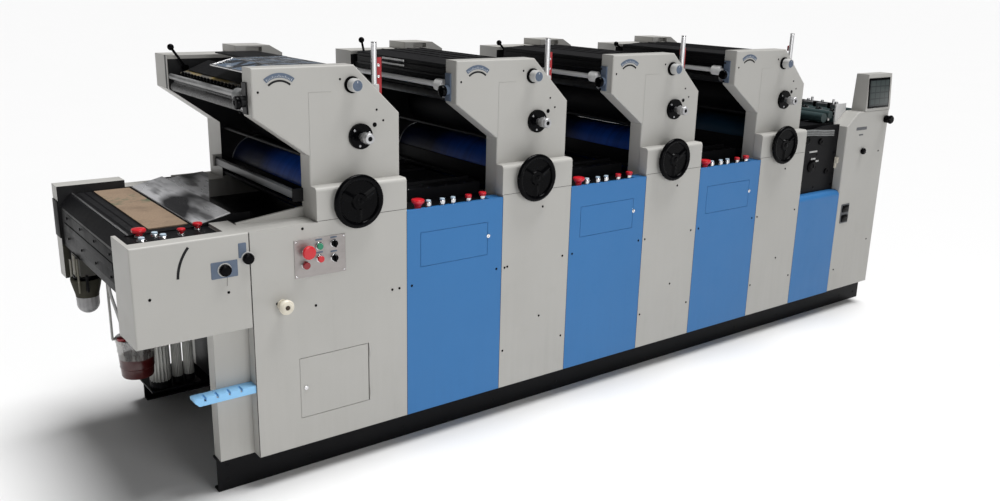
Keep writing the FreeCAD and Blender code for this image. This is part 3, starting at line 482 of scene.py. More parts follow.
def makeScreen():
    # dark glass over a plain grid of panes, slightly lighter than the gaps between them
    p = Paint("screenGlass", (0.02, 0.025, 0.028), 0.3, Coat_Weight=0.1, Coat_Roughness=0.05,
              Specular_IOR_Level=0.2)
    x, z = p.axis("X"), p.axis("Z")
    cell = (x.mod(0.046) > 0.006) * (z.mod(0.034) > 0.006)
    haze = p.noise(30, 4, 0.6)
    p.put("Base Color", p.blend(cell * 0.6 + haze * 0.2, (0.016, 0.021, 0.023), (0.062, 0.080, 0.078)))
    p.put("Roughness", 0.25 + haze * 0.15)
    return p.finish(haze, 0.03, 0.0005)


def makeDuct():
    # pale pleated duct, dark and greasy towards its foot
    p = Paint("ductCloth", (0.40, 0.40, 0.38), 0.6)
    streak = p.noise(40.0, 5, 0.7, stretch=(1, 1, 0.12))
    foot = 1 - (p.axis("Z") + streak * 0.14).between(0.19, 0.30)
    colour = p.blend(streak.between(0.35, 0.8), (0.86, 0.86, 0.82), (0.58, 0.58, 0.55))
    p.put("Base Color", p.blend(foot, colour, (0.012, 0.012, 0.012)))
    return p.finish(streak, 0.4, 0.0015)


blueShades = {"light": (0.034, 0.176, 0.435), "shade": (0.030, 0.155, 0.385), "grime": (0.03, 0.08, 0.17)}
finishes = {
    "cover_paint": makeSheetPaint("coverPaint", **sheetPaint, shadeInside=True),
    "blue_paint": makeSheetPaint("bluePaint", **blueShades, rough=0.40, dirt=0.35),
    "black_paint": makeBlack("blackPaint"),
    "dark_iron": makeBlack("darkIron", (0.007, 0.007, 0.008), (0.026, 0.025, 0.023), 0.42, 0.6),
    "bright_steel": makeSteel("brightSteel", (0.66, 0.66, 0.67), 0.22, (1, 0.05, 1)),
    "navy_blanket": makeBlanket(),
    "roller_rubber": makeRubber(),
    "black_plastic": makePlastic("blackPlastic", (0.001, 0.001, 0.0015), 0.24, 0.03, 0.1, gloss=0.05),
    "red_plastic": makePlastic("redPlastic", (0.60, 0.012, 0.022), 0.30, 0.3),
    "red_paint": makePlastic("redPaint", (0.42, 0.012, 0.020), 0.35, 0.2, 0.15),
    "button_chrome": makeSteel("buttonChrome", (0.78, 0.78, 0.79), 0.10, (1, 1, 1), 0.1),
    "knob_plastic": makePlastic("knobPlastic", (0.50, 0.50, 0.49), 0.45),
    "cream_plastic": makePlastic("creamPlastic", (0.74, 0.69, 0.58), 0.42, 0.1, 0.12),
    "clear_plastic": makeClear("clearPlastic", (0.20, 0.26, 0.33), 0.40, 0.14),
    "board": makeBoard(),
    "ink_tray": makeInkTray(),
    "guard_steel": makeGuardSteel(),
    "red_water": makeRedJar(),
}
slateBlue = makePlastic("slateBlue", (0.120, 0.155, 0.215), 0.45, 0.03, gloss=0.2)
stepBlue = makeSheetPaint("stepBlue", (0.30, 0.62, 0.95), (0.26, 0.54, 0.86), (0.10, 0.22, 0.4),
                          rough=0.45, dirt=0.3)
paleSteel = makeSteel("paleSteel", (0.80, 0.80, 0.80), 0.3, (1, 0.05, 1), 0.2, 0.3)


def makeBarSteel():
    # bars: painted highlight makes them near white and matte on the closed units, standing for bright steel in
    # shade; streaked grey on the open one; the low pair is grey near the operator and painted black further in as
    # shade
    p = Paint("barSteel", (0.8, 0.8, 0.8), 0.35, 0.0)
    streak = p.noise(30.0, 5, 0.7, stretch=(1, 0.12, 1))
    first, low = p.axis("X") < at(-300, 0, 0)[0], p.axis("Z") < 1.1
    # painted highlight: near-white colour for the shine of the bars inside the closed heads
    colour = p.blend(streak.between(0.45, 0.8) * 0.35, (0.95, 0.95, 0.95), (0.55, 0.55, 0.55))
    colour = p.blend(first, colour, p.blend(streak.between(0.42, 0.62), (0.30, 0.30, 0.30),
                                            (0.09, 0.09, 0.09)))
    # painted shade: the low pair turns black from 250 to 430 mm in from the near wall
    barFarShade = p.axis("Y").between(at(0, 250, 0)[1], at(0, 430, 0)[1])
    colour = p.blend(low, colour, p.blend(barFarShade, (0.22, 0.235, 0.25), (0.008, 0.008, 0.009)))
    p.put("Base Color", colour)
    return p.finish(streak, 0.2, 0.0004, edge=0.001)


barSteel = makeBarSteel()
oliveShade = makeBlack("oliveShade", (0.050, 0.048, 0.036), (0.09, 0.085, 0.065), 0.6, 0.6)
seamDark = makeBlack("seamDark", (0.020, 0.020, 0.021), (0.06, 0.06, 0.055), 0.7, 0.5, 0)
brushedPanel = makeSteel("brushedPanel", (0.36, 0.335, 0.325), 0.36, (0.04, 1, 1), 0.35, 0.85)
greenPlastic = makePlastic("greenPlastic", (0.010, 0.22, 0.11), 0.3, 0.3)
paleBlue = makePlastic("paleBlue", (0.50, 0.62, 0.72), 0.3, 0.2)
darkRedPlastic = makePlastic("darkRedPlastic", (0.28, 0.008, 0.014), 0.3, 0.3)
whitePlastic = makePlastic("whitePlastic", (0.90, 0.90, 0.89), 0.4, 0.2)
milkyPlastic = makeClear("milkyPlastic", (0.33, 0.325, 0.33), 0.76, 0.35)
screenGlass = makeScreen()
ductCloth = makeDuct()
splashGuard = makeSplashGuard()
dullGrey = makePlastic("dullGrey", (0.20, 0.205, 0.205), 0.4, 0.1, 0.25)
dullCream = makePlastic("dullCream", (0.20, 0.19, 0.15), 0.55, 0.0, 0.2)
# near-black paint; on the plate cylinders it is painted shade, hiding the sheen that light through the gaps
# between units would give
deepBlack = makeBlack("deepBlack", (0.003, 0.003, 0.004), (0.010, 0.010, 0.011), 0.55, 0.4)
tealDrum = makePlastic("tealDrum", (0.035, 0.060, 0.062), 0.35, 0.1, 0.2, gloss=0.3)
brownBore = makePlastic("brownBore", (0.045, 0.026, 0.015), 0.5)
labelGrey = makePlastic("labelGrey", (0.11, 0.115, 0.125), 0.5)
knurledSteel = makeSteel("knurledSteel", (0.52, 0.52, 0.53), 0.28, (1, 1, 1), 0.3)
panelLine = makeSheetPaint("panelLine", (0.40, 0.392, 0.37), (0.36, 0.35, 0.33), (0.2, 0.19, 0.17))
print("finishes:", len(bpy.data.materials))

slotOf = {part["node"]: part["material_slot"] for part in frame["record"]["subparts"]}
for node, thing in frame["nodes"].items():
    for spot in thing.material_slots:
        spot.material = finishes[slotOf[node]]


def makeBracketPaint():
    # slate blue brackets, black on the open unit and on the low pair
    p = Paint("bracketPaint", (0.12, 0.155, 0.215), 0.45, Specular_IOR_Level=0.2)
    cloud = p.noise(38.0, 4, 0.6)
    low = (p.axis("Z") < 1.1) + (p.axis("X") < at(-340, 0, 0)[0])
    colour = p.blend(cloud.between(0.35, 0.75) * 0.4, (0.12, 0.155, 0.215), (0.085, 0.11, 0.155))
    colour = p.blend(low.between(0, 1), colour, (0.006, 0.006, 0.007))
    p.put("Base Color", p.blend(p.axis("Y") > at(0, 830, 0)[1], colour, sheetPaint["light"]))
    return p.finish(p.noise(900, 2), 0.06, 0.0003, edge=0.001)


def makeHangerPaint():
    # dull olive hangers under the table, the jar's rod in pale zinc
    p = Paint("hangerPaint", (0.05, 0.048, 0.036), 0.5)
    cloud = p.noise(30.0, 5, 0.65)
    rod = p.axis("Y") < at(0, 600, 0)[1]
    p.put("Base Color", p.blend(rod, p.blend(cloud, (0.055, 0.052, 0.04), (0.03, 0.028, 0.022)),
                                (0.36, 0.36, 0.34)))
    return p.finish(cloud, 0.15, 0.0006, edge=0.0015)


bracketPaint, hangerPaint = makeBracketPaint(), makeHangerPaint()
# painted shade: the plate cylinders are given near-black paint, where the heads lie in shade
for node, finish in (("control_panel", brushedPanel), ("head_brackets", bracketPaint),
                     ("cross_bars", barSteel), ("step_plate", stepBlue), ("feed_plates", paleSteel),
                     ("splash_guard", splashGuard), ("plate_cylinders", deepBlack),
                     ("hanging_brackets", hangerPaint)):
    for spot in frame["nodes"][node].material_slots:
        spot.material = finish


def piece(name, shapes, material, body="press", slot=None, replaces=(), sharp=32):
    # shapes joined in one mesh, doubles merged and faces turned outwards, smooth up to the sharp angle;
    # a material that is a slot's name is that slot's finish
    if isinstance(material, str):
        slot, material = material, finishes[material]
    points = np.concatenate([s[0] for s in shapes])
    start = np.cumsum([0] + [len(s[0]) for s in shapes])
    faces = [[i + first for i in face] for s, first in zip(shapes, start) for face in s[1]]
    mesh = bpy.data.meshes.new(name)
    mesh.from_pydata(points.tolist(), [], faces)
    work = bmesh.new()
    work.from_mesh(mesh)
    bmesh.ops.remove_doubles(work, verts=work.verts, dist=1e-6)
    bmesh.ops.recalc_face_normals(work, faces=work.faces)
    work.to_mesh(mesh)
    work.free()
    mesh.polygons.foreach_set("use_smooth", [True] * len(mesh.polygons))
    mesh.set_sharp_from_angle(angle=math.radians(sharp))
    mesh.materials.append(material)
    thing = bpy.data.objects.new(name, mesh)
    bpy.context.collection.objects.link(thing)
    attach(thing, body)
    if replaces:
        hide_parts(*replaces)


# handwheel: sizes in millimetres
wheel = {"radius": 98.5, "front": 88.0, "hub": 27.0, "ridge": 5.0, "ridgeWidth": 9.0, "shaft": 14.0}


def wheelFace(w):
    # face height over radius r and angle t: the rim's half circle, a raised hub, and three ridges as
    # ridge * exp(-(distance from the spoke's line / width) ** 2)
    r = np.concatenate([np.linspace(0, w["hub"], 8), np.linspace(w["hub"] + 2, w["radius"] - 22, 22),
                        w["radius"] - 11 - 11 * np.cos(np.linspace(0, math.pi, 16))])
    t = np.linspace(0, 2 * math.pi, 120, endpoint=False)
    rim = w["radius"] - 11
    swell = np.sqrt(np.clip(1 - ((r - rim) / 11.0) ** 2, 0, 1)) * 10
    dish = np.where(r < w["hub"], 6.5, 6.5 - 6.5 * np.clip((r - w["hub"]) / 4, 0, 1))
    base = np.where(r > w["radius"] - 22, swell, dish * (r < w["radius"] - 22))
    line = np.stack([np.cos(t - a) for a in np.radians([270, 30, 150])])
    off = np.stack([np.sin(t - a) for a in np.radians([270, 30, 150])])
    apart = np.where(line > 0, np.abs(off), 9.0)[:, None, :] * r[None, :, None]
    ridge = (w["ridge"] * np.exp(-(apart / w["ridgeWidth"]) ** 2)).max(0)
    ridge = ridge * ((r > w["hub"]) & (r < w["radius"] - 20))[:, None]
    return r, t, np.maximum(base[:, None] + ridge, 0)


def makeHandwheel(unit):
    w = wheel
    r, t, height = wheelFace(w)
    centre = at(0, -w["front"] + 11, wheelZ, unit)
    flat = np.stack([np.cos(t), np.zeros_like(t), np.sin(t)], 1)
    front = centre + r[:, None, None] * flat / 1000 - height[..., None] * np.array([0, 0.001, 0])
    back = [(w["radius"], 0), (w["radius"] - 1, 5), (w["radius"] - 5, 11), (w["radius"] - 11, 14),
            (w["radius"] - 18, 11), (w["radius"] - 24, 6), (34, 6), (30, 14), (w["shaft"], 15),
            (w["shaft"], 97)]
    rows = np.array(back)
    rear = centre + rows[:, :1, None] / 1000 * flat + rows[:, 1, None, None] * np.array([0, 0.001, 0])
    boss = lathe(at(0, -w["front"] + 4.6, wheelZ, unit), near,
                 [(13, -1), (13, 1.2), (11.5, 2.2), (4, 2.4), (3.6, 1), (0.1, 1)])
    piece(f"handwheelRim_{unit + 1}", [weave(np.concatenate([front, rear])), boss], "black_plastic",
          f"drive_{unit + 1}", replaces=[f"handwheel_{unit + 1}"], sharp=50)


for unit in units:
    makeHandwheel(unit)
print("handwheels done")

# knobs on the upper faces
topKnob = {"x": 21.0, "z": 1443.0, "radius": 24.0, "from": 8.0, "reach": 44.0, "stem": 9.0}
shaftKnob = {"x": 50.0, "z": 1258.0, "radius": 19.5, "from": 34.0, "reach": 76.0}


def makeTopKnob(unit):
    k = topKnob
    r = k["radius"]
    centre = at(k["x"], 0, k["z"], unit)
    grip = lathe(centre, near, [(k["stem"], -38), (k["stem"], k["from"]), (r - 1, k["from"] + 1),
                                (r, k["from"] + 3), (r, 20, 1), (r, 36, 1), (r - 0.8, 38),
                                (r - 2, k["reach"]), (r - 4, k["reach"]), (r - 5, k["reach"] - 1.2)], 96,
                 32, 0.022)
    cap = lathe(centre, near, [(r - 5.2, k["reach"] - 3), (r - 5.2, k["reach"] - 0.6),
                               (r - 7, k["reach"] + 0.2), (9, k["reach"] + 0.2), (8, k["reach"] - 0.8),
                               (0.1, k["reach"] - 0.8)], 48)
    mark = block(k["x"] - 0.8, k["x"] + 0.8, -k["reach"] - 0.6, -k["reach"] + 1, k["z"] + 9, k["z"] + 16,
                 unit, 0.3)
    body = f"knob_{unit + 1}"
    piece(f"topKnobBody_{unit + 1}", [grip], "knob_plastic", body, replaces=[f"top_knob_{unit + 1}"])
    piece(f"topKnobCap_{unit + 1}", [cap], slateBlue, body, "knob_plastic")
    piece(f"topKnobMark_{unit + 1}", [mark], whitePlastic, body, "knob_plastic")


for unit in units:
    makeTopKnob(unit)


def makeShaftKnobs():
    k = shaftKnob
    sleeves, holes, bolts = [], [], []
    for unit in units:
        centre = at(k["x"], 0, k["z"], unit)
        r = k["radius"]
        sleeves.append(lathe(centre, near, [(12, 12), (12, k["from"]), (r - 2, k["from"]),
                                            (r, k["from"] + 2, 1), (r, 60, 1), (r - 1.5, 61),
                                            (r - 1.5, 64), (r, 65, 1), (r, k["reach"] - 3, 1),
                                            (r - 2, k["reach"]), (9, k["reach"]), (8, k["reach"] - 4),
                                            (0.1, k["reach"] - 4)], 112, 28, 0.035))
        for a in (20, 140, 260):
            spot = at(k["x"] + 35 * math.cos(math.radians(a)), -12,
                      k["z"] + 35 * math.sin(math.radians(a)), unit)
            bolts.append(screw(spot, near, 4.5))
        holes.append(lathe(at(111, 0, 1295, unit), near,
                           [(8.5, -1), (8.5, 1.2), (7.5, 1.8), (5.5, 1.2), (5, 0.3), (0.1, 0.2)], 24))
        for x, z in ((120, 1349), (147, 1309), (-25, 1464), (-329, 1432)):
            holes.append(lathe(at(x, 0, z, unit), near, [(4.2, -1), (4.2, 0.6), (3, 1.1), (1.4, 0.6),
                                                         (0.1, 0.4)], 14))
    piece("shaftSleeves", sleeves, knurledSteel, slot="bright_steel")
    piece("flangeBolts", bolts, knurledSteel, slot="bright_steel")
    piece("facePlugs", holes, "black_plastic")


makeShaftKnobs()

# scale plates on the upper faces
scale = {"x": -252.0, "z": 1407.0, "plate": (71.0, 87.0), "slot": (57.0, 64.0), "spread": 40.0}


def makeScales():
    plates, slots, ticks = [], [], []
    s = scale
    for unit in units:
        middle = (s["x"], 0.2, s["z"])
        plates.append(arcBand(middle, *s["plate"], 90 - s["spread"], 90 + s["spread"], near, 1.2, unit))
        slots.append(arcBand(middle, *s["slot"], 90 - s["spread"] - 1, 90 + s["spread"] + 1, near, 0.6, unit))
        for k in range(-8, 9):
            long = 8 if k % 4 == 0 else 4.5
            a = 90 + k * 4.4
            ticks.append(arcBand((s["x"], -0.9, s["z"]), s["plate"][0] + 2, s["plate"][0] + 2 + long,
                                 a - 0.35, a + 0.35, near, 0.5, unit, 2))
    piece("scalePlates", plates, slateBlue, slot="bright_steel")
    piece("scaleSlots", slots, seamDark, slot="black_paint")
    piece("scaleTicks", ticks, whitePlastic, slot="bright_steel")


makeScales()
print("knobs and scales done")

# seams of the covers
covers = {"left": -150.0, "right": 215.0, "floor": 132.0, "seam": 978.0, "blueTop": 970.0,
          "firstLeft": -405.0}


def seamLine(x0, z0, x1, z1, y, out, unit=0, width=1.6, proud=0.35):
    # thin strip from one end to the other, its width square to its length
    a, b = np.array([x0, z0], float), np.array([x1, z1], float)
    n = (b - a)[::-1] * (1, -1) / np.linalg.norm(b - a) * width / 2
    return slab([at(x, y, z, unit) for x, z in (a + n, b + n, b - n, a - n)], out, proud)


def makeSeams():
    c = covers
    dark, faint = [], []
    for unit in units:
        for x in ((c["right"],) if unit == 0 else (c["left"], c["right"])):
            if not (unit == 3 and x > 0):
                dark.append(seamLine(x, c["floor"] + 1, x, c["blueTop"] - 1, cover + 0.1, near, unit))
        for x in (c["left"], c["right"]):
            dark.append(seamLine(x, 190, x, c["blueTop"] - 8, depth + 12.1, far, unit))
        dark.append(seamLine(c["left"] + 4, c["seam"] + 0.5, c["right"] - 4, c["seam"] + 0.5, cover + 0.2,
                             near, unit, 1.4))
        faint.append(seamLine(-147, 1200, -147, 1423, -0.1, near, unit, 1.3, 0.25))
        faint.append(seamLine(-147, 1423, -60, 1423, -0.1, near, unit, 1.0, 0.25))
    dark.append(seamLine(c["right"], c["floor"] + 1, c["right"], 728, cover + 0.1, near, 3))
    dark.append(seamLine(c["firstLeft"], c["floor"] + 1, c["firstLeft"], 972, cover + 0.1, near, 0, 2.2))
    piece("coverSeams", dark, seamDark, slot="black_paint")
    piece("faceSeams", faint, panelLine, slot="cover_paint")


def makeScrews():
    dots = {0: [(-315, 703), (-168, 669), (-210, 960), (-486, 777), (-746, 798), (150, 671), (60, 953),
                (644, 671), (237, 671), (686, 669), (181, 671)],
            1: [(-120, 671), (-134, 300), (60, 905), (60, 420), (181, 671), (237, 671), (644, 671),
                (190, 300)],
            2: [(-134, 671), (60, 905), (60, 420), (181, 671), (237, 671), (644, 671), (-134, 300),
                (190, 300)],
            3: [(-134, 671), (60, 905), (60, 420), (181, 671), (-134, 300), (190, 300), (919, 925),
                (919, 400), (620, 260)]}
    spots = [lathe(at(x, cover, z, unit), near, [(5, -1), (5, 0.7), (3.8, 1.3), (2.2, 1.2), (1.8, 0.3),
                                                 (0.1, 0.2)], 14) for unit, rows in dots.items()
             for x, z in rows]
    piece("coverPlugs", spots, "black_plastic")
    locks = [lathe(at(599, cover, 818, unit), near, [(8.5, -1), (8.5, 1.4), (7.4, 2.0), (3.6, 2.0),
                                                     (3.2, 1.2), (0.1, 1.2)], 28) for unit in range(3)]
    locks += [block(597.8, 600.2, cover - 2.6, cover - 1.5, 814, 822, unit, 0.3) for unit in range(3)]
    piece("hatchLocks", locks, "button_chrome")
    doorLock = [lathe(at(-217, cover - 2, 360), near, [(8, -1), (8, 0.8), (7, 1.4), (2.6, 1.4), (2.4, 0.6),
                                                       (0.1, 0.6)], 28)]
    piece("doorLock", doorLock, "button_chrome", "door")


makeSeams()
makeScrews()

# rows of push buttons
ledge = {"x": [284.0, 332.0, 396.0, 446.0, 520.0, 589.0], "y": cover + 32, "z": 958.0}
consoleTop = 963.0  # dark plate on the delivery


def mushroomCap(centre, out, radius, stem):
    # red cap: a turned profile with a rolled rim and a slightly domed top
    r = radius
    return lathe(centre, out, [(r * 0.5, 0), (r * 0.5, stem * 0.55), (r * 0.62, stem * 0.7),
                               (r * 0.95, stem - 1), (r, stem + 2), (r * 0.985, stem + r * 0.3),
                               (r * 0.9, stem + r * 0.42), (r * 0.6, stem + r * 0.5),
                               (r * 0.25, stem + r * 0.53), (0.1, stem + r * 0.535)], 40)


def bezel(centre, out, radius, height=9):
    r = radius
    return lathe(centre, out, [(r, 0), (r, height * 0.35), (r * 0.93, height * 0.5),
                               (r * 0.93, height * 0.85), (r * 0.85, height), (r * 0.74, height),
                               (r * 0.72, height * 0.7), (0.1, height * 0.7)], 32)


def buttonCap(centre, out, radius, height=13, start=5):
    r = radius * 0.70
    return lathe(centre, out, [(r, start), (r, height - 2), (r * 0.9, height - 0.5), (r * 0.5, height),
                               (0.1, height + 0.1)], 28)


def makeButtons():
    chrome, caps = [], {"red_plastic": [], "white": [], "green": [], "darkRed": [], "black": []}
    mushrooms = []
    for unit in range(3):
        row = [at(x, ledge["y"], ledge["z"], unit) for x in ledge["x"]]
        chrome += [bezel(p, top, 13, 28) for p in row]
        mushrooms.append(mushroomCap(row[0], top, 26, 32))
        for p, kind in zip(row[1:], ("white", "white", "white", "red_plastic", "red_plastic")):
            caps[kind].append(buttonCap(p, top, 14 if kind == "white" else 19, 35, 22))
        mushrooms.append(mushroomCap(row[5], top, 16, 30))
    z = consoleTop
    chrome += [bezel(at(x, y, z), top, r, 8) for x, y, r in ((-724, 64, 16), (-668, 108, 15),
                                                             (-652, 70, 16), (-590, 74, 13),
                                                             (-716, 118, 15), (-520, 116, 12))]
    mushrooms += [mushroomCap(at(-716, 118, z), top, 24, 20), mushroomCap(at(-520, 116, z), top, 17, 18)]
    caps["white"] += [buttonCap(at(x, y, z), top, 15, 15) for x, y in ((-724, 64), (-652, 70), (-668, 108))]
    mushrooms.append(mushroomCap(at(-590, 74, z), top, 14, 18))
    y = cover - 2
    chrome += [bezel(at(x, y, zz), near, 15, 7) for x, zz in ((-205, 828), (-150, 890), (-148, 843),
                                                              (-92, 892), (-92, 838), (-200, 878))]
    mushrooms.append(mushroomCap(at(-200, y, 878), near, 25, 22))
    caps["darkRed"].append(buttonCap(at(-205, y, 828), near, 19, 18, 4))
    caps["green"].append(buttonCap(at(-150, y, 890), near, 17, 15, 4))
    caps["red_plastic"].append(buttonCap(at(-148, y, 843), near, 17, 16, 4))
    for zz in (892, 838):
        centre = at(-92, y, zz)
        caps["black"].append(lathe(centre, near, [(12, 4), (12, 12), (11, 13.5), (0.1, 13.5)], 28))
        caps["black"].append(block(-95, -89, y - 20, y - 12, zz - 12, zz + 12, 0, 1.5))
    piece("buttonBezels", chrome, "button_chrome", replaces=["push_buttons"])
    piece("mushroomButtons", mushrooms, "red_plastic", replaces=["red_buttons"])
    for kind, material in (("red_plastic", finishes["red_plastic"]), ("white", paleBlue),
                           ("green", greenPlastic), ("darkRed", darkRedPlastic),
                           ("black", finishes["black_plastic"])):
        slot = "red_plastic" if "ed" in kind else "black_plastic"
        piece(f"buttonCaps_{kind}", caps[kind], material, slot=slot)


makeButtons()


def makeSelectors():
    # black knobs on slate plates: two on the delivery's cover, and one on the feeder's cabinet
    knobs, rings, plates = [], [], []
    plates += [wallPlate((-496, cover, 859), 92, 58, 1.4, 3), wallPlate((-431, cover, 916), 28, 52, 1.4, 3),
               wallPlate((-496, cover, 858), 40, 8, 1.2, 2)]
    for x, z, r, unit in ((-496, 858, 20, 0), (-414, 886, 19, 0), (752, 938, 17, 3)):
        centre = at(x, cover, z, unit)
        if unit == 0:
            rings.append(lathe(centre, near, [(r + 4, -0.5), (r + 4, 2.0), (r + 3, 2.6), (r + 1, 2.6),
                                              (0.1, 2)], 40))
        knobs.append(lathe(centre, near, [(r - 1, 1), (r, 3, 1), (r, 15, 1), (r - 2, 18), (r - 4, 19),
                                          (0.1, 19.4)], 80, 20, 0.03))
    piece("selectorPlates", plates, slateBlue, slot="bright_steel")
    piece("selectorRings", rings, finishes["knob_plastic"], slot="button_chrome")
    piece("selectorKnobs", knobs, "black_plastic")


makeSelectors()
print("buttons done")

# delivery
delivery = {"left": -800.0, "right": -405.0, "rim": 962.0, "near": 138.0, "far": 869.0}


def makeDelivery():
    d = delivery
    slot = arcBand((-482, cover - 0.1, 844), 165.5, 174.5, 140, 177.5, near, 0.5, 0, 20)
    lineMark = seamLine(-490, 800, -488, 833, cover - 0.1, near, 0, 1.2)
    piece("deliverySlot", [slot, lineMark], seamDark, slot="black_paint")
    # folded rim of the near cover, and bright strips across the table
    rim = [block(d["left"] + 2, d["right"] - 2, cover + 0.5, cover + 8, d["rim"] - 1, d["rim"] + 2.5),
           block(d["left"] + 0.5, d["left"] + 8, cover + 8, d["near"] - 2, d["rim"] - 1, d["rim"] + 2.5)]
    piece("deliveryRim", rim, "cover_paint")
    strips = [rod(-746, 971, d["near"] + 2, d["far"] - 2, 3.2, 10),
              rod(-520, 972, d["near"] + 2, d["far"] - 2, 2.6, 10)]
    piece("tableStrips", strips, "bright_steel")
    # flat belts over the table, beside the board
    belts = [block(x, x + 22, d["near"] + 6, d["far"] - 6, 968.6, 970.6, 0, 0.6) for x in (-728, -700)]
    piece("tableBelts", belts, "roller_rubber")
    # cross panels and the bracket at the table's front, under its nose
    front = [block(-793, -786, d["near"] + 4, d["far"] - 4, 800, 915),
             block(-796, -790, d["near"] + 30, d["far"] - 50, 845, 872),
             block(-780, -700, 640, 860, 700, 772), block(-780, -772, 620, 700, 640, 704),
             block(-780, -772, 780, 850, 640, 704)]
    piece("frontPanels", front, "dark_iron")
    pins = [lathe(at(-796, y, z), ahead, [(5, -1), (5, 3), (3.8, 4.2), (0.1, 4.2)], 18)
            for y in (190, 380, 570, 760) for z in (820, 900)]
    piece("frontBolts", pins, "dark_iron")
    # black nose plate over the far cover's end, and the dark plate that the buttons stand on
    nose = [block(-804, -799.5, 868, 945, 798, 945, 0, 1.5),
            block(-790, -478, -38, d["near"], 963, 965, 0, 0.6)]
    piece("nosePlates", nose, "dark_iron")
    dowel = lathe(at(-796, 905, 866), ahead, [(6, -30), (6, 2), (4.6, 3.4), (0.1, 3.4)], 24)
    piece("farDowel", [dowel], "bright_steel")


makeDelivery()


def makeDucts():
    # fluted duct: radius * (1 + 0.05 * cos(18 t)), with a collar at its foot and head
    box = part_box("air_ducts")
    z0, z1 = box[0][2] * 1000, box[1][2] * 1000
    ducts, collars = [], []
    for x, r in ((-494, 42), (-422, 21), (-373, 21)):
        foot = at(x, 777, z0)
        ducts.append(lathe(foot, top, [(r * 0.9, 0), (r * 0.97, 12, 1), (r, 40, 1), (r * 0.97, 220, 1),
                                       (r, 420, 1), (r * 0.95, z1 - z0, 1)], 108, 18, 0.05))
        collars.append(lathe(foot, top, [(r + 2, 0), (r + 2, 26), (r + 0.5, 28), (r * 0.9, 28)], 48))
        collars.append(lathe(foot, top, [(r * 0.9, 560), (r + 2, 560), (r + 2, 584), (r * 0.9, 585)], 48))
    piece("fluteDucts", ducts, ductCloth, slot="cover_paint", replaces=["air_ducts"])
    piece("ductCollars", collars, "dark_iron")


def makeFilter():
    # ribbed clear bowl: radius * (1 + 0.02 * cos(16 t)) closed by half an ellipse, with a black cap ring
    low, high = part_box("filter_bowl")
    middle = np.array([(low[0] + high[0]) / 2, (low[1] + high[1]) / 2, 0.0])
    bottom, lid = low[2] * 1000, high[2] * 1000
    t = np.linspace(0, math.pi / 2, 12)
    curveRows = [(max(41 * math.sin(a), 0.1), bottom + 40 - 40 * math.cos(a), 0.5 * math.sin(a)) for a in t]
    bowl = lathe(middle, top, curveRows + [(41, bottom + 60, 1), (41, bottom + 74, 1),
                                           (40.5, bottom + 78, 0)], 96, 16, 0.02)
    piece("ribbedBowl", [bowl], milkyPlastic, slot="clear_plastic", replaces=["filter_bowl"])
    flare = lathe(middle, top, [(38, bottom + 70), (42, bottom + 70), (43, bottom + 80),
                                (50, bottom + 108), (56, lid - 4), (56, lid + 4), (53, lid + 5),
                                (40, lid + 4)], 60)
    piece("bowlFlare", [flare], oliveShade, slot="dark_iron")
    plates = [block(-806, -801, 668, 706, lid - 10, 775, 0, 2),
              block(-804, -799, 742, 768, lid - 42, 740, 0, 2),
              tube(np.linspace(at(-803, 640, lid - 40), at(-803, 640, 770), 3), 4, 10)]
    piece("bowlPlates", plates, dullCream, slot="dark_iron")
    ring = lathe(middle, top, [(36, lid + 2), (44, lid + 2), (45, lid + 4), (45, lid + 16), (43, lid + 19),
                               (34, lid + 20)], 60)
    core = lathe(middle, top, [(0.1, bottom + 26), (9, bottom + 28), (12, bottom + 40), (12, lid)], 24)
    nut = lathe(middle, top, [(0.1, bottom - 0.2), (6, bottom), (7, bottom + 3), (7, bottom + 6)], 6)
    piece("bowlFittings", [ring, core, nut], "black_plastic")


def makeJar():
    # jar: a turned profile with two hoops and a rolled rim, and its drain pipe
    low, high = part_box("waste_bottle")
    middle = np.array([(low[0] + high[0]) / 2, (low[1] + high[1]) / 2, low[2]])
    tall = (high[2] - low[2]) * 1000
    jar = lathe(middle, top, [(0.1, 0), (50, 0.5), (57, 3), (60, 9), (62, 40), (63.5, 42), (64.4, 46),
                              (63.6, 50), (67, 104), (68.4, 106), (69, 110), (68.5, 114), (71, tall - 16),
                              (73.5, tall - 13), (74, tall - 6), (73, tall - 1), (70, tall),
                              (66, tall - 1), (65, tall - 6), (0.1, tall - 6)], 64)
    piece("jar", [jar], "red_water", replaces=["waste_bottle"])
    path = curve([at(-722, 545, 770), at(-721, 545, 700), at(-719, 545, 650), at(-704, 545, 580),
                  at(-692, 545, 520), at(-688, 545, 452)])
    piece("drainPipe", [tube(path, 6.0, 14)], finishes["knob_plastic"], slot="cover_paint")
    hoops = [lathe(at(-722, 545, 745), top, [(6, 0), (10, 0), (10, 16), (6, 16)], 6)]
    cap = lathe(at(-688, 545, 452), top, [(7, 0), (22, 0), (23, 2), (23, 12), (20, 14), (7, 15)], 32)
    piece("jarCap", [cap], darkRedPlastic, slot="red_water")
    piece("drainNut", hoops, "bright_steel")


makeDucts()
makeFilter()
makeJar()
print("delivery done")

# heads over the units
head = {"left": -351.0, "bar": 1410.0, "roller": 1368.0}


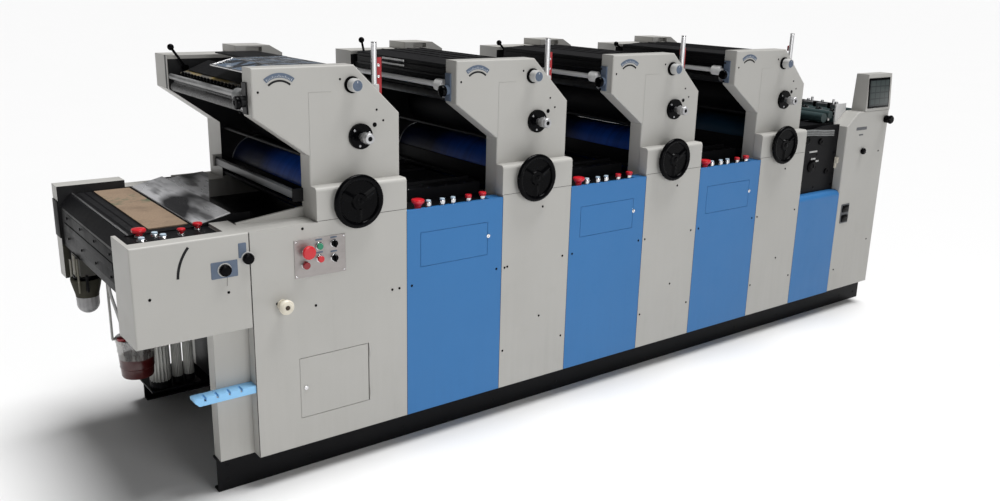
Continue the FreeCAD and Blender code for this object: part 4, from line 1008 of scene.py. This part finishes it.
def makeHeads():
    h = head
    blocks, knurls, ends, lines, brackets = [], [], [], [], []
    for unit in units:
        x = h["left"] + 12
        # end block on the bar, white on the closed units as painted highlight, a knurled roller end beside it and
        # a black one in front
        blocks.append(lathe(at(x, 96, h["bar"], unit), far,
                            [(18, 0), (23, 1.5), (24, 4), (24, 50), (22, 53), (12, 54), (0.1, 54)], 40))
        knurls.append(lathe(at(x + 10, 74, h["roller"] + 8, unit), far,
                            [(14, 0), (20, 1), (21.5, 3, 1), (21.5, 26, 1), (20, 28), (0.1, 28)], 120, 30,
                            0.04))
        ends.append(lathe(at(h["left"] - 24, 48, 1396, unit), ahead,
                          [(21, 0), (22, 2), (22, 12), (20.5, 16), (15, 17.5), (9, 17.8), (8.5, 15),
                           (0.1, 15)], 40))
        brackets += [lathe(at(h["left"] - 24, 48, z, unit), ahead,
                           [(5, -1), (5, 1.5), (4, 2.6), (2, 2.6), (0.1, 1.4)], 16) for z in (1364, 1452)]
    # painted highlight: the closed units' end blocks are white, standing for bright steel in shade
    piece("barBlocks", blocks[1:], whitePlastic, slot="bright_steel")
    piece("openBarBlock", blocks[:1], dullGrey, slot="bright_steel")
    piece("rollerEnds", knurls, knurledSteel, slot="bright_steel")
    piece("blackEnds", ends, "black_plastic")
    piece("bracketScrews", brackets, "dark_iron")
    # black plates behind the bars of the closed units
    behind = [block(-338, -332, *span, 1424, 1446, unit) for unit in (1, 2, 3)]
    piece("barPlates", behind, deepBlack, slot="black_paint")
    # plain ribs and fold lines across the black covers
    for unit in (1, 2, 3):
        lines += [block(h["left"] + 3, h["left"] + 8.5, 84, 786, z - 2, z + 2, unit, 0.8)
                  for z in (1488, 1474, 1450)]
        lines += [block(h["left"] + a, h["left"] + a + 6, 80, 786, 1499, 1502.5, unit, 0.8)
                  for a in (128, 196, 262, 330)]
    piece("coverRibs", lines, "black_paint")
    stripes = [block(h["left"] - 0.6, h["left"] + 2.2, 385, 560, z, z + 7, 1, 0.3) for z in (1460, 1479)]
    piece("bareLabel", stripes, whitePlastic, slot="cover_paint")


def makeOpenHead():
    # ink fountain of the first unit: keys in a row, blade, the clear sheet's frame and two bars
    h = head
    x = h["left"]
    keys = [lathe(at(x + 20, 110 + 34 * k, 1432), (-0.8, 0, 0.6),
                  [(6, -8), (6, 2, 1), (5, 3.2), (3, 3.6), (0.1, 3.6)], 40, 10, 0.06) for k in range(19)]
    piece("inkKeys", keys, "black_plastic")
    blade = [slab([at(x + 60, 80, 1437), at(x + 60, 784, 1437), at(x + 148, 784, 1473),
                   at(x + 148, 80, 1473)], (0, 0, 1), 1.2)]
    piece("inkBlade", blade, "dark_iron")
    frames = [rod(x + 42, 1484, 80, 470, 4, 10), rod(x + 130, 1507, 80, 470, 3, 10),
              rod(x + 236, 1508, 80, 470, 2.4, 8)]
    frames += [tube(np.linspace(at(x + 42, y, 1484), at(x + 130, y, 1507), 3), 2, 8) for y in (82, 468)]
    piece("splashFrame", frames, "bright_steel")
    bars = [rod(x + 28, 1388, *span, 7, 14), rod(x + 60, 1356, *span, 12, 20)]
    piece("fountainBars", bars, "roller_rubber")


makeHeads()
makeOpenHead()


def makeInside():
    # cross ties, guide bars and bearer rings that show between the walls
    ties, rings, strapsAndShadePlates = [], [], []
    radius = 112.6
    for unit in units:
        ties += [rod(x, z, *span, r, 14, unit)
                 for x, z, r in ((-128, 1190, 8), (170, 1130, 9), (185, 1290, 8))]
        strapsAndShadePlates.append(block(-146, -140, *span, 995, 1008, unit))
        strapsAndShadePlates.append(block(176, 184, *span, 1330, 1352, unit))
        for y in (77, 823):
            rings.append(lathe(at(0, y, wheelZ, unit), far,
                               [(60, 0), (radius - 2, 0), (radius - 1, 2), (radius - 1, 10),
                                (radius - 2, 12), (60, 12)], 72))
    piece("guideTies", ties, "dark_iron")
    # painted shade: tall black plates in front of the blankets hide their lower halves, where the units lie in
    # shade
    strapsAndShadePlates += [block(-122, -116, *span, 1000, 1064, unit) for unit in units]
    piece("guideStrapsAndShadePlates", strapsAndShadePlates, deepBlack, slot="dark_iron")
    piece("wiperBar", [block(-182, -170, 74, 838, 1040, 1066)], barSteel, slot="bright_steel")
    for unit in units:
        body = f"drive_{unit + 1}"
        piece(f"bearerRings_{unit + 1}", rings[2 * unit:2 * unit + 2], "bright_steel", body)
        # clamp bar of the blanket, let into the roll
        clamp = [pad(at(0, 456, wheelZ + 111.5, unit), (0, 1, 0), (-1, 0, 0), 700, 26, 1.0, 1.0, 0.3)]
        piece(f"blanketClamp_{unit + 1}", clamp, "dark_iron", body)


makeInside()


def makePosts():
    # sockets at the posts' feet, their caps, and the bolts and handles of the red clips
    sockets, caps, bolts, latches = [], [], [], []
    for unit in units:
        x, y = 142.0, 54.0
        foot = 1512 - (x - 31) / 184 * 179
        sockets.append(lathe(at(x, y, foot - 4, unit), top,
                             [(17, -22), (18, 0), (18, 30), (16.5, 34), (11, 35)], 36))
        caps.append(lathe(at(x, y, 1583, unit), top, [(10.6, -6), (11, 0), (10, 2.4), (6, 2.9),
                                                      (0.1, 2.9)], 28))
        bolts += [screw(at(171, 72.5, z, unit), near, 6) for z in (1500, 1460, 1350)]
        latches.append(block(160, 182, 74, 92, 1496, 1522, unit, 3))
        latches.append(block(158, 176, 74, 86, 1330, 1420, unit, 3))
    piece("postSockets", sockets, finishes["knob_plastic"], slot="cover_paint")
    piece("postCaps", caps, "button_chrome")
    piece("clipBolts", bolts, "button_chrome")
    piece("clipLatches", latches, "red_paint")


makePosts()


def makeDecks():
    # black decks between the units: strips, small bright rivets and bare tags
    rivets, strips, tags = [], [], []
    for unit in range(3):
        spots = [(x, y, 1006) for x in (240, 330, 420, 510, 600, 645) for y in (125, 172)]
        rivets += [lathe(at(x, y, z, unit), top, [(2.6, -0.5), (2.6, 0.4), (1.6, 1.2), (0.1, 1.4)], 10)
                   for x, y, z in spots]
        strips += [block(222, 662, 186, 192, 1000, 1018, unit), block(222, 662, 300, 308, 984, 996, unit),
                   block(222, 662, 520, 528, 984, 996, unit), block(222, 662, 700, 712, 984, 1004, unit)]
        tags += [block(x, x + w, 114, 116.5, 972, 982, unit, 0.3)
                 for x, w in ((300, 18), (350, 12), (392, 22), (470, 14), (560, 26))]
    piece("deckRivets", rivets, "button_chrome")
    piece("deckStrips", strips, "black_paint")
    piece("deckTags", tags, finishes["dark_iron"], slot="black_paint")


makeDecks()
print("heads and decks done")

# feeder
feeder = {"unit": 3, "left": 582.0, "reach": (48.0, 940.0)}


def makeFeeder():
    f = feeder
    u = f["unit"]
    # screen in a dark surround on the pod's tilted face, over x and up the tilt
    tilt = np.array([0, 12.0, 188.0]) / math.hypot(12, 188)
    face = at(854, cover + 5.5, 1258, u)
    surround = pad(face - np.array([0, 0.0006, 0]), (1, 0, 0), tilt, 208, 166, 3.0, 6, 1)
    glass = pad(face - np.array([0, 0.0034, 0]), (1, 0, 0), tilt, 186, 142, 1.4, 2, 0.5)
    piece("screenSurround", [surround], "black_plastic")
    piece("screenPane", [glass], screenGlass, slot="black_plastic")
    # bare label places, rocker switches and their plate
    labels = [wallPlate((722, cover, 1067, u), 100, 17, 0.8, 1.5),
              wallPlate((723, cover, 1032, u), 40, 8, 0.8, 1.5)]
    piece("bareLabels", labels, labelGrey, slot="black_plastic")
    piece("rockerPlate", [wallPlate((658, cover, 588, u), 78, 112, 1.6, 6)], labelGrey, slot="black_plastic")
    rockers = []
    for z in (560, 616):
        rockers.append(wallPlate((658, cover - 1.4, z, u), 58, 40, 5, 5))
        rockers.append(wallPlate((658, cover - 6, z + 8, u), 42, 16, 4, 3))
    piece("rockers", rockers, "black_plastic")
    # cream lug on the cabinet's left face
    lug = [block(f["left"] - 9, f["left"], -20, 20, 880, 912, u, 3),
           block(f["left"] - 9, f["left"], -10, 10, 850, 884, u, 3)]
    piece("creamLug", lug, "cream_plastic")
    makeFeedHead(u)


def makeFeedHead(u):
    # rods, wheels, clamps, suction cups, arms and drums that carry the sheets, over a dark deck
    f = feeder
    x0 = f["left"]
    rods, wheels, cups, clamps, black, pale = [], [], [], [], [], []
    for k in range(9):
        y = 90 + 92 * k
        wheels.append(lathe(at(x0 + 48, y, 1150, u), far,
                            [(6, -8), (17, -8), (18, -6), (18, 6), (17, 8), (6, 8)], 32))
        clamps.append(block(x0 + 8, x0 + 34, y - 9, y + 9, 1170, 1200, u, 2))
        cups.append(lathe(at(x0 + 82, y, 1172, u), top, [(14, -40), (15, -38), (9, -26), (5, -22), (5, 4),
                                                         (9, 6), (9, 30), (5, 32), (0.1, 32)], 20))
    for x, z, r in ((x0 + 48, 1150, 5), (x0 + 24, 1128, 6), (x0 + 76, 1102, 7), (x0 - 40, 1118, 9),
                    (x0 - 110, 1090, 6)):
        rods.append(rod(x, z, *f["reach"], r, 14, u))
    for k in range(7):
        y = 110 + 120 * k
        black.append(block(x0 - 130, x0 - 6, y, y + 26, 1082, 1100, u, 4))
        pale.append(block(x0 - 100, x0 - 30, y + 30, y + 58, 1101, 1104, u, 1))
        rods.append(tube(curve([at(x0 - 60, y + 70, 1060, u), at(x0 - 20, y + 76, 1120, u),
                                at(x0 + 20, y + 60, 1150, u)], 10), 4, 8))
    rollers = [rod(x, z, 48, 900, r, 24, u) for x, z, r in ((x0 - 84, 1128, 26), (x0 - 28, 1142, 22),
                                                            (x0 + 22, 1112, 20), (x0 + 118, 1128, 30),
                                                            (x0 + 180, 1140, 26))]
    piece("feedDrums", rollers, tealDrum, slot="roller_rubber")
    deck = [block(215, 680, 44, 905, 1094, 1098, 3), block(215, 680, 44, 48, 1040, 1094, 3)]
    piece("feedDeck", deck, deepBlack, slot="black_paint")
    piece("feedRods", rods, "bright_steel")
    piece("feedWheels", wheels, "roller_rubber")
    piece("feedClamps", clamps, "black_plastic")
    piece("suctionCups", cups, "bright_steel")
    piece("feedArms", black, "black_plastic")
    piece("feedTapes", pale, labelGrey, slot="black_plastic")
    bundle = [tube(curve([at(262, -7, 1080 - k, u), at(340, -9, 1077 - k, u), at(440, -7, 1068 - k, u),
                          at(526, -5, 1062 - k, u)], 12), 5.5, 12) for k in (0, 11, 22)]
    piece("feedTubes", bundle, dullGrey, slot="clear_plastic")
    # black side wall above the blue panel: boss, bolts and a few bare pale tags
    wall, tags = [], []
    for x, z, r in ((300, 1030, 26), (420, 1010, 18), (360, 880, 34), (500, 840, 16), (280, 800, 12)):
        wall.append(lathe(at(x, 0, z, u), near, [(r, -1), (r, 5), (r * 0.85, 8), (r * 0.4, 8.6),
                                                 (r * 0.35, 6), (0.1, 6)], 36))
    wall += [screw(at(x, 0, z, u), near, 6) for x in (240, 400, 560) for z in (760, 940)]
    tags += [block(x, x + w, -1.2, 1, z, z + 9, u, 0.3) for x, w, z in ((330, 70, 955), (350, 40, 915),
                                                                        (395, 26, 900), (250, 24, 850))]
    piece("feederBosses", wall, "black_plastic")
    piece("feederTags", tags, finishes["knob_plastic"], slot="cover_paint")


makeFeeder()
print("feeder done")

# drive side
driveSide = {"louvreZ": (300.0, 620.0), "louvreStep": 26.0}


def makeDriveSide():
    # rows of screws round each gear case, louvres low in the covers, sight glasses and filler caps
    screws, louvres, glasses, caps, cleats = [], [], [], [], []
    y, low = depth, depth + 12
    for unit in units:
        outline = [(-330, 1470), (-180, 1476), (-30, 1476), (30, 1470), (190, 1318), (190, 1160),
                   (190, 1010), (-126, 1010), (-126, 1160), (-330, 1372)]
        screws += [screw(at(x, y, z, unit), far, 6) for x, z in outline]
        left = -296 if unit == 0 else -128
        screws += [screw(at(x, low, z, unit), far, 6) for x in (left, 192) for z in (200, 460, 720, 950)]
        z0, z1 = driveSide["louvreZ"]
        for k in range(int((z1 - z0) / driveSide["louvreStep"])):
            z = z0 + driveSide["louvreStep"] * k
            slat = [at(-60, low, z, unit), at(130, low, z, unit), at(130, low, z + 14, unit),
                    at(-60, low, z + 14, unit)]
            lip = [p + np.array([0, 0.005, 0]) * (i < 2) for i, p in enumerate(slat)]
            louvres.append(weave(np.stack([slat, lip])))
        glasses.append(lathe(at(-60, y, 1090, unit), far,
                             [(16, -1), (16, 3), (14, 4.4), (11, 4.4), (10.5, 3.2), (0.1, 3.2)], 36))
        caps.append(lathe(at(120, y, 1225, unit), far, [(20, -1), (20, 5, 1), (19, 8), (6, 8.6),
                                                        (0.1, 8.6)], 72, 18, 0.03))
        caps.append(lathe(at(-236, y, 1440, unit), far, [(11, -1), (11, 3), (10, 4), (0.1, 4)], 28))
    piece("driveScrews", screws, "button_chrome")
    piece("driveLouvres", louvres, "cover_paint")
    piece("sightGlasses", glasses, "button_chrome")
    piece("fillerCaps", caps, "black_plastic")
    for unit in range(3):
        cleats += [screw(at(x, low, z, unit), far, 6) for x in (240, 646) for z in (200, 560, 930)]
    cleats += [screw(at(x, low, z, 3), far, 6) for x in (240, 400, 560) for z in (200, 700)]
    piece("panelScrews", cleats, "black_plastic")
    # cable box on the feeder's far cabinet
    box = [pad(at(780, low, 620, 3), (-1, 0, 0), top, 180, 260, 8, 8, 2)]
    piece("cableBox", box, "cover_paint")


def makeBase():
    # bolts along both base rails
    bolts = [screw(at(x, 25, z), near, 7) for x in (-500, -180, 240, 700, 1060, 1500, 1880, 2330, 2700,
                                                    3300, 3440) for z in (40, 98)]
    bolts += [screw(at(x, depth - 9, z), far, 7) for x in (-460, 240, 1060, 1880, 2700, 3440)
              for z in (40, 98)]
    piece("baseBolts", bolts, "dark_iron")


makeDriveSide()
makeBase()


def makePanelDetails():
    # control panel's corner screws and bare strips, door hinges, and the cream knob's ring, lip and bore
    corners = [screw(at(x, cover - 2, z), near, 3.6) for x in (-238, -52) for z in (788, 914)]
    piece("panelCornerScrews", corners, "button_chrome")
    strips = [wallPlate((x, cover - 2, z), 26, 6, 0.5, 1, 0.2)
              for x, z in ((-150, 913), (-92, 914), (-92, 862), (-148, 866))]
    piece("panelStrips", strips, slateBlue, slot="bright_steel")
    hinges = [lathe(at(50.2, cover + 1.5, z), top, [(0.1, 0), (3.4, 0.3), (3.6, 1), (3.6, 33), (3.4, 34),
                                                    (0.1, 34)], 18) for z in (262, 424)]
    piece("doorHinges", hinges, "cover_paint")
    ring = [lathe(at(-296, cover, 697), near, [(9, 0), (19, 0), (19, 1.6), (17, 2.4), (9, 2.4)], 40)]
    piece("creamRing", ring, "cream_plastic")
    lip = [lathe(at(-296, cover - 45, 697), near, [(20, -2), (20, 1), (17, 2.6), (11, 2.6), (9, 1),
                                                   (8.6, 0.3), (0.1, 0.3)], 40)]
    piece("creamLip", lip, "cream_plastic", "side_knob")
    bore = [lathe(at(-296, cover - 45.2, 697), near, [(8.4, -1), (8.4, 0.8), (5, 0.8), (4, 2.2),
                                                      (0.1, 2.2)], 28)]
    piece("creamBore", bore, brownBore, "side_knob", "cream_plastic")
    # thin seals that show in the gaps round the door and beside the delivery's cover
    low, high = [np.asarray(c) * 1000 - at(0, 0, 0) * 1000 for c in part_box("access_door")]
    seals = [block(low[0] - 1.6, low[0] + 0.4, cover + 1, cover + 4, low[2], high[2], 0, 0.2),
             block(high[0] - 0.4, high[0] + 1.6, cover + 1, cover + 4, low[2], high[2], 0, 0.2),
             block(low[0], high[0], cover + 1, cover + 4, low[2] - 1.6, low[2] + 0.4, 0, 0.2),
             block(low[0], high[0], cover + 1, cover + 4, high[2] - 0.4, high[2] + 1.6, 0, 0.2),
             block(-405.6, -403.8, cover + 2, cover + 8, 140, 974, 0, 0.2)]
    piece("gapSeals", seals, panelLine, slot="cover_paint")


makePanelDetails()
print("drive side, base and panels done")

# floor, lights and camera
stage = {"size": 240.0, "flat": 14.0, "lift": 16.0, "tone": (0.79, 0.79, 0.79), "sky": 0.12, "key": 3.7,
         "keyTurn": (4.0, 13.0, 0.0), "keyWidth": 30.0, "front": (340.0, -4100.0, 2100.0),
         "frontTurn": 78.0, "frontSize": 1.6, "frontPower": 42.0}
view = {"place": (-1570.0, -2962.0, 1803.0), "yaw": 0.6536, "pitch": 0.2803, "roll": 0.0252, "lens": 33.54,
        "reach": 1000.0}


def makeStage():
    # floor: a flat round with a rim that lifts as the square of the distance beyond it
    r = np.r_[0.05, stage["flat"], np.linspace(stage["flat"], stage["size"], 24)[1:]][:, None]
    t = np.linspace(0, 2 * math.pi, 64, endpoint=False)[None, :]
    lift = stage["lift"] * (np.clip(r - stage["flat"], 0, None) / stage["size"]) ** 2
    rows = np.stack([r * np.cos(t), r * np.sin(t), cadBox[0][2] + lift + 0 * t], -1)
    points, faces = weave(rows)
    mesh = bpy.data.meshes.new("floor")
    mesh.from_pydata(points.tolist(), [], faces[:-1])
    floor = bpy.data.objects.new("floor", mesh)
    paint = Paint("floorPaint", stage["tone"], 0.9)
    cloud = paint.noise(0.7, 4, 0.5)
    paint.put("Base Color", paint.blend(cloud * 0.3, stage["tone"], tuple(c * 0.96 for c in stage["tone"])))
    mesh.materials.append(paint.finish())
    bpy.context.collection.objects.link(floor)
    world = bpy.data.worlds.new("paleRoom")
    world.use_nodes = True
    world.node_tree.nodes["Background"].inputs["Color"].default_value = (1, 1, 1, 1)
    world.node_tree.nodes["Background"].inputs["Strength"].default_value = stage["sky"]
    bpy.context.scene.world = world
    sun = bpy.data.lights.new("key", "SUN")
    sun.energy, sun.angle = stage["key"], math.radians(stage["keyWidth"])
    lamp = bpy.data.objects.new("key", sun)
    lamp.rotation_euler = [math.radians(a) for a in stage["keyTurn"]]
    bpy.context.collection.objects.link(lamp)
    # soft box before the first unit, facing straight back
    box = bpy.data.lights.new("front", "AREA")
    box.energy, box.size = stage["frontPower"], stage["frontSize"]
    lamp = bpy.data.objects.new("front", box)
    lamp.location = at(*stage["front"])
    lamp.rotation_euler = (math.radians(stage["frontTurn"]), 0, 0)
    bpy.context.collection.objects.link(lamp)
    bpy.context.scene.view_settings.view_transform = "Standard"


def makeCamera():
    v = view
    lens = bpy.data.cameras.new("camera")
    lens.lens, lens.clip_end = v["lens"], v["reach"]
    camera = bpy.data.objects.new("camera", lens)
    turn = Matrix.Rotation(-v["yaw"], 4, "Z") @ Matrix.Rotation(math.pi / 2 - v["pitch"], 4,
                                                                "X") @ Matrix.Rotation(v["roll"], 4, "Z")
    camera.matrix_world = Matrix.Translation(at(*v["place"])) @ turn
    bpy.context.collection.objects.link(camera)
    bpy.context.scene.camera = camera


makeStage()
makeCamera()
bpy.context.view_layer.update()
print("stage done")
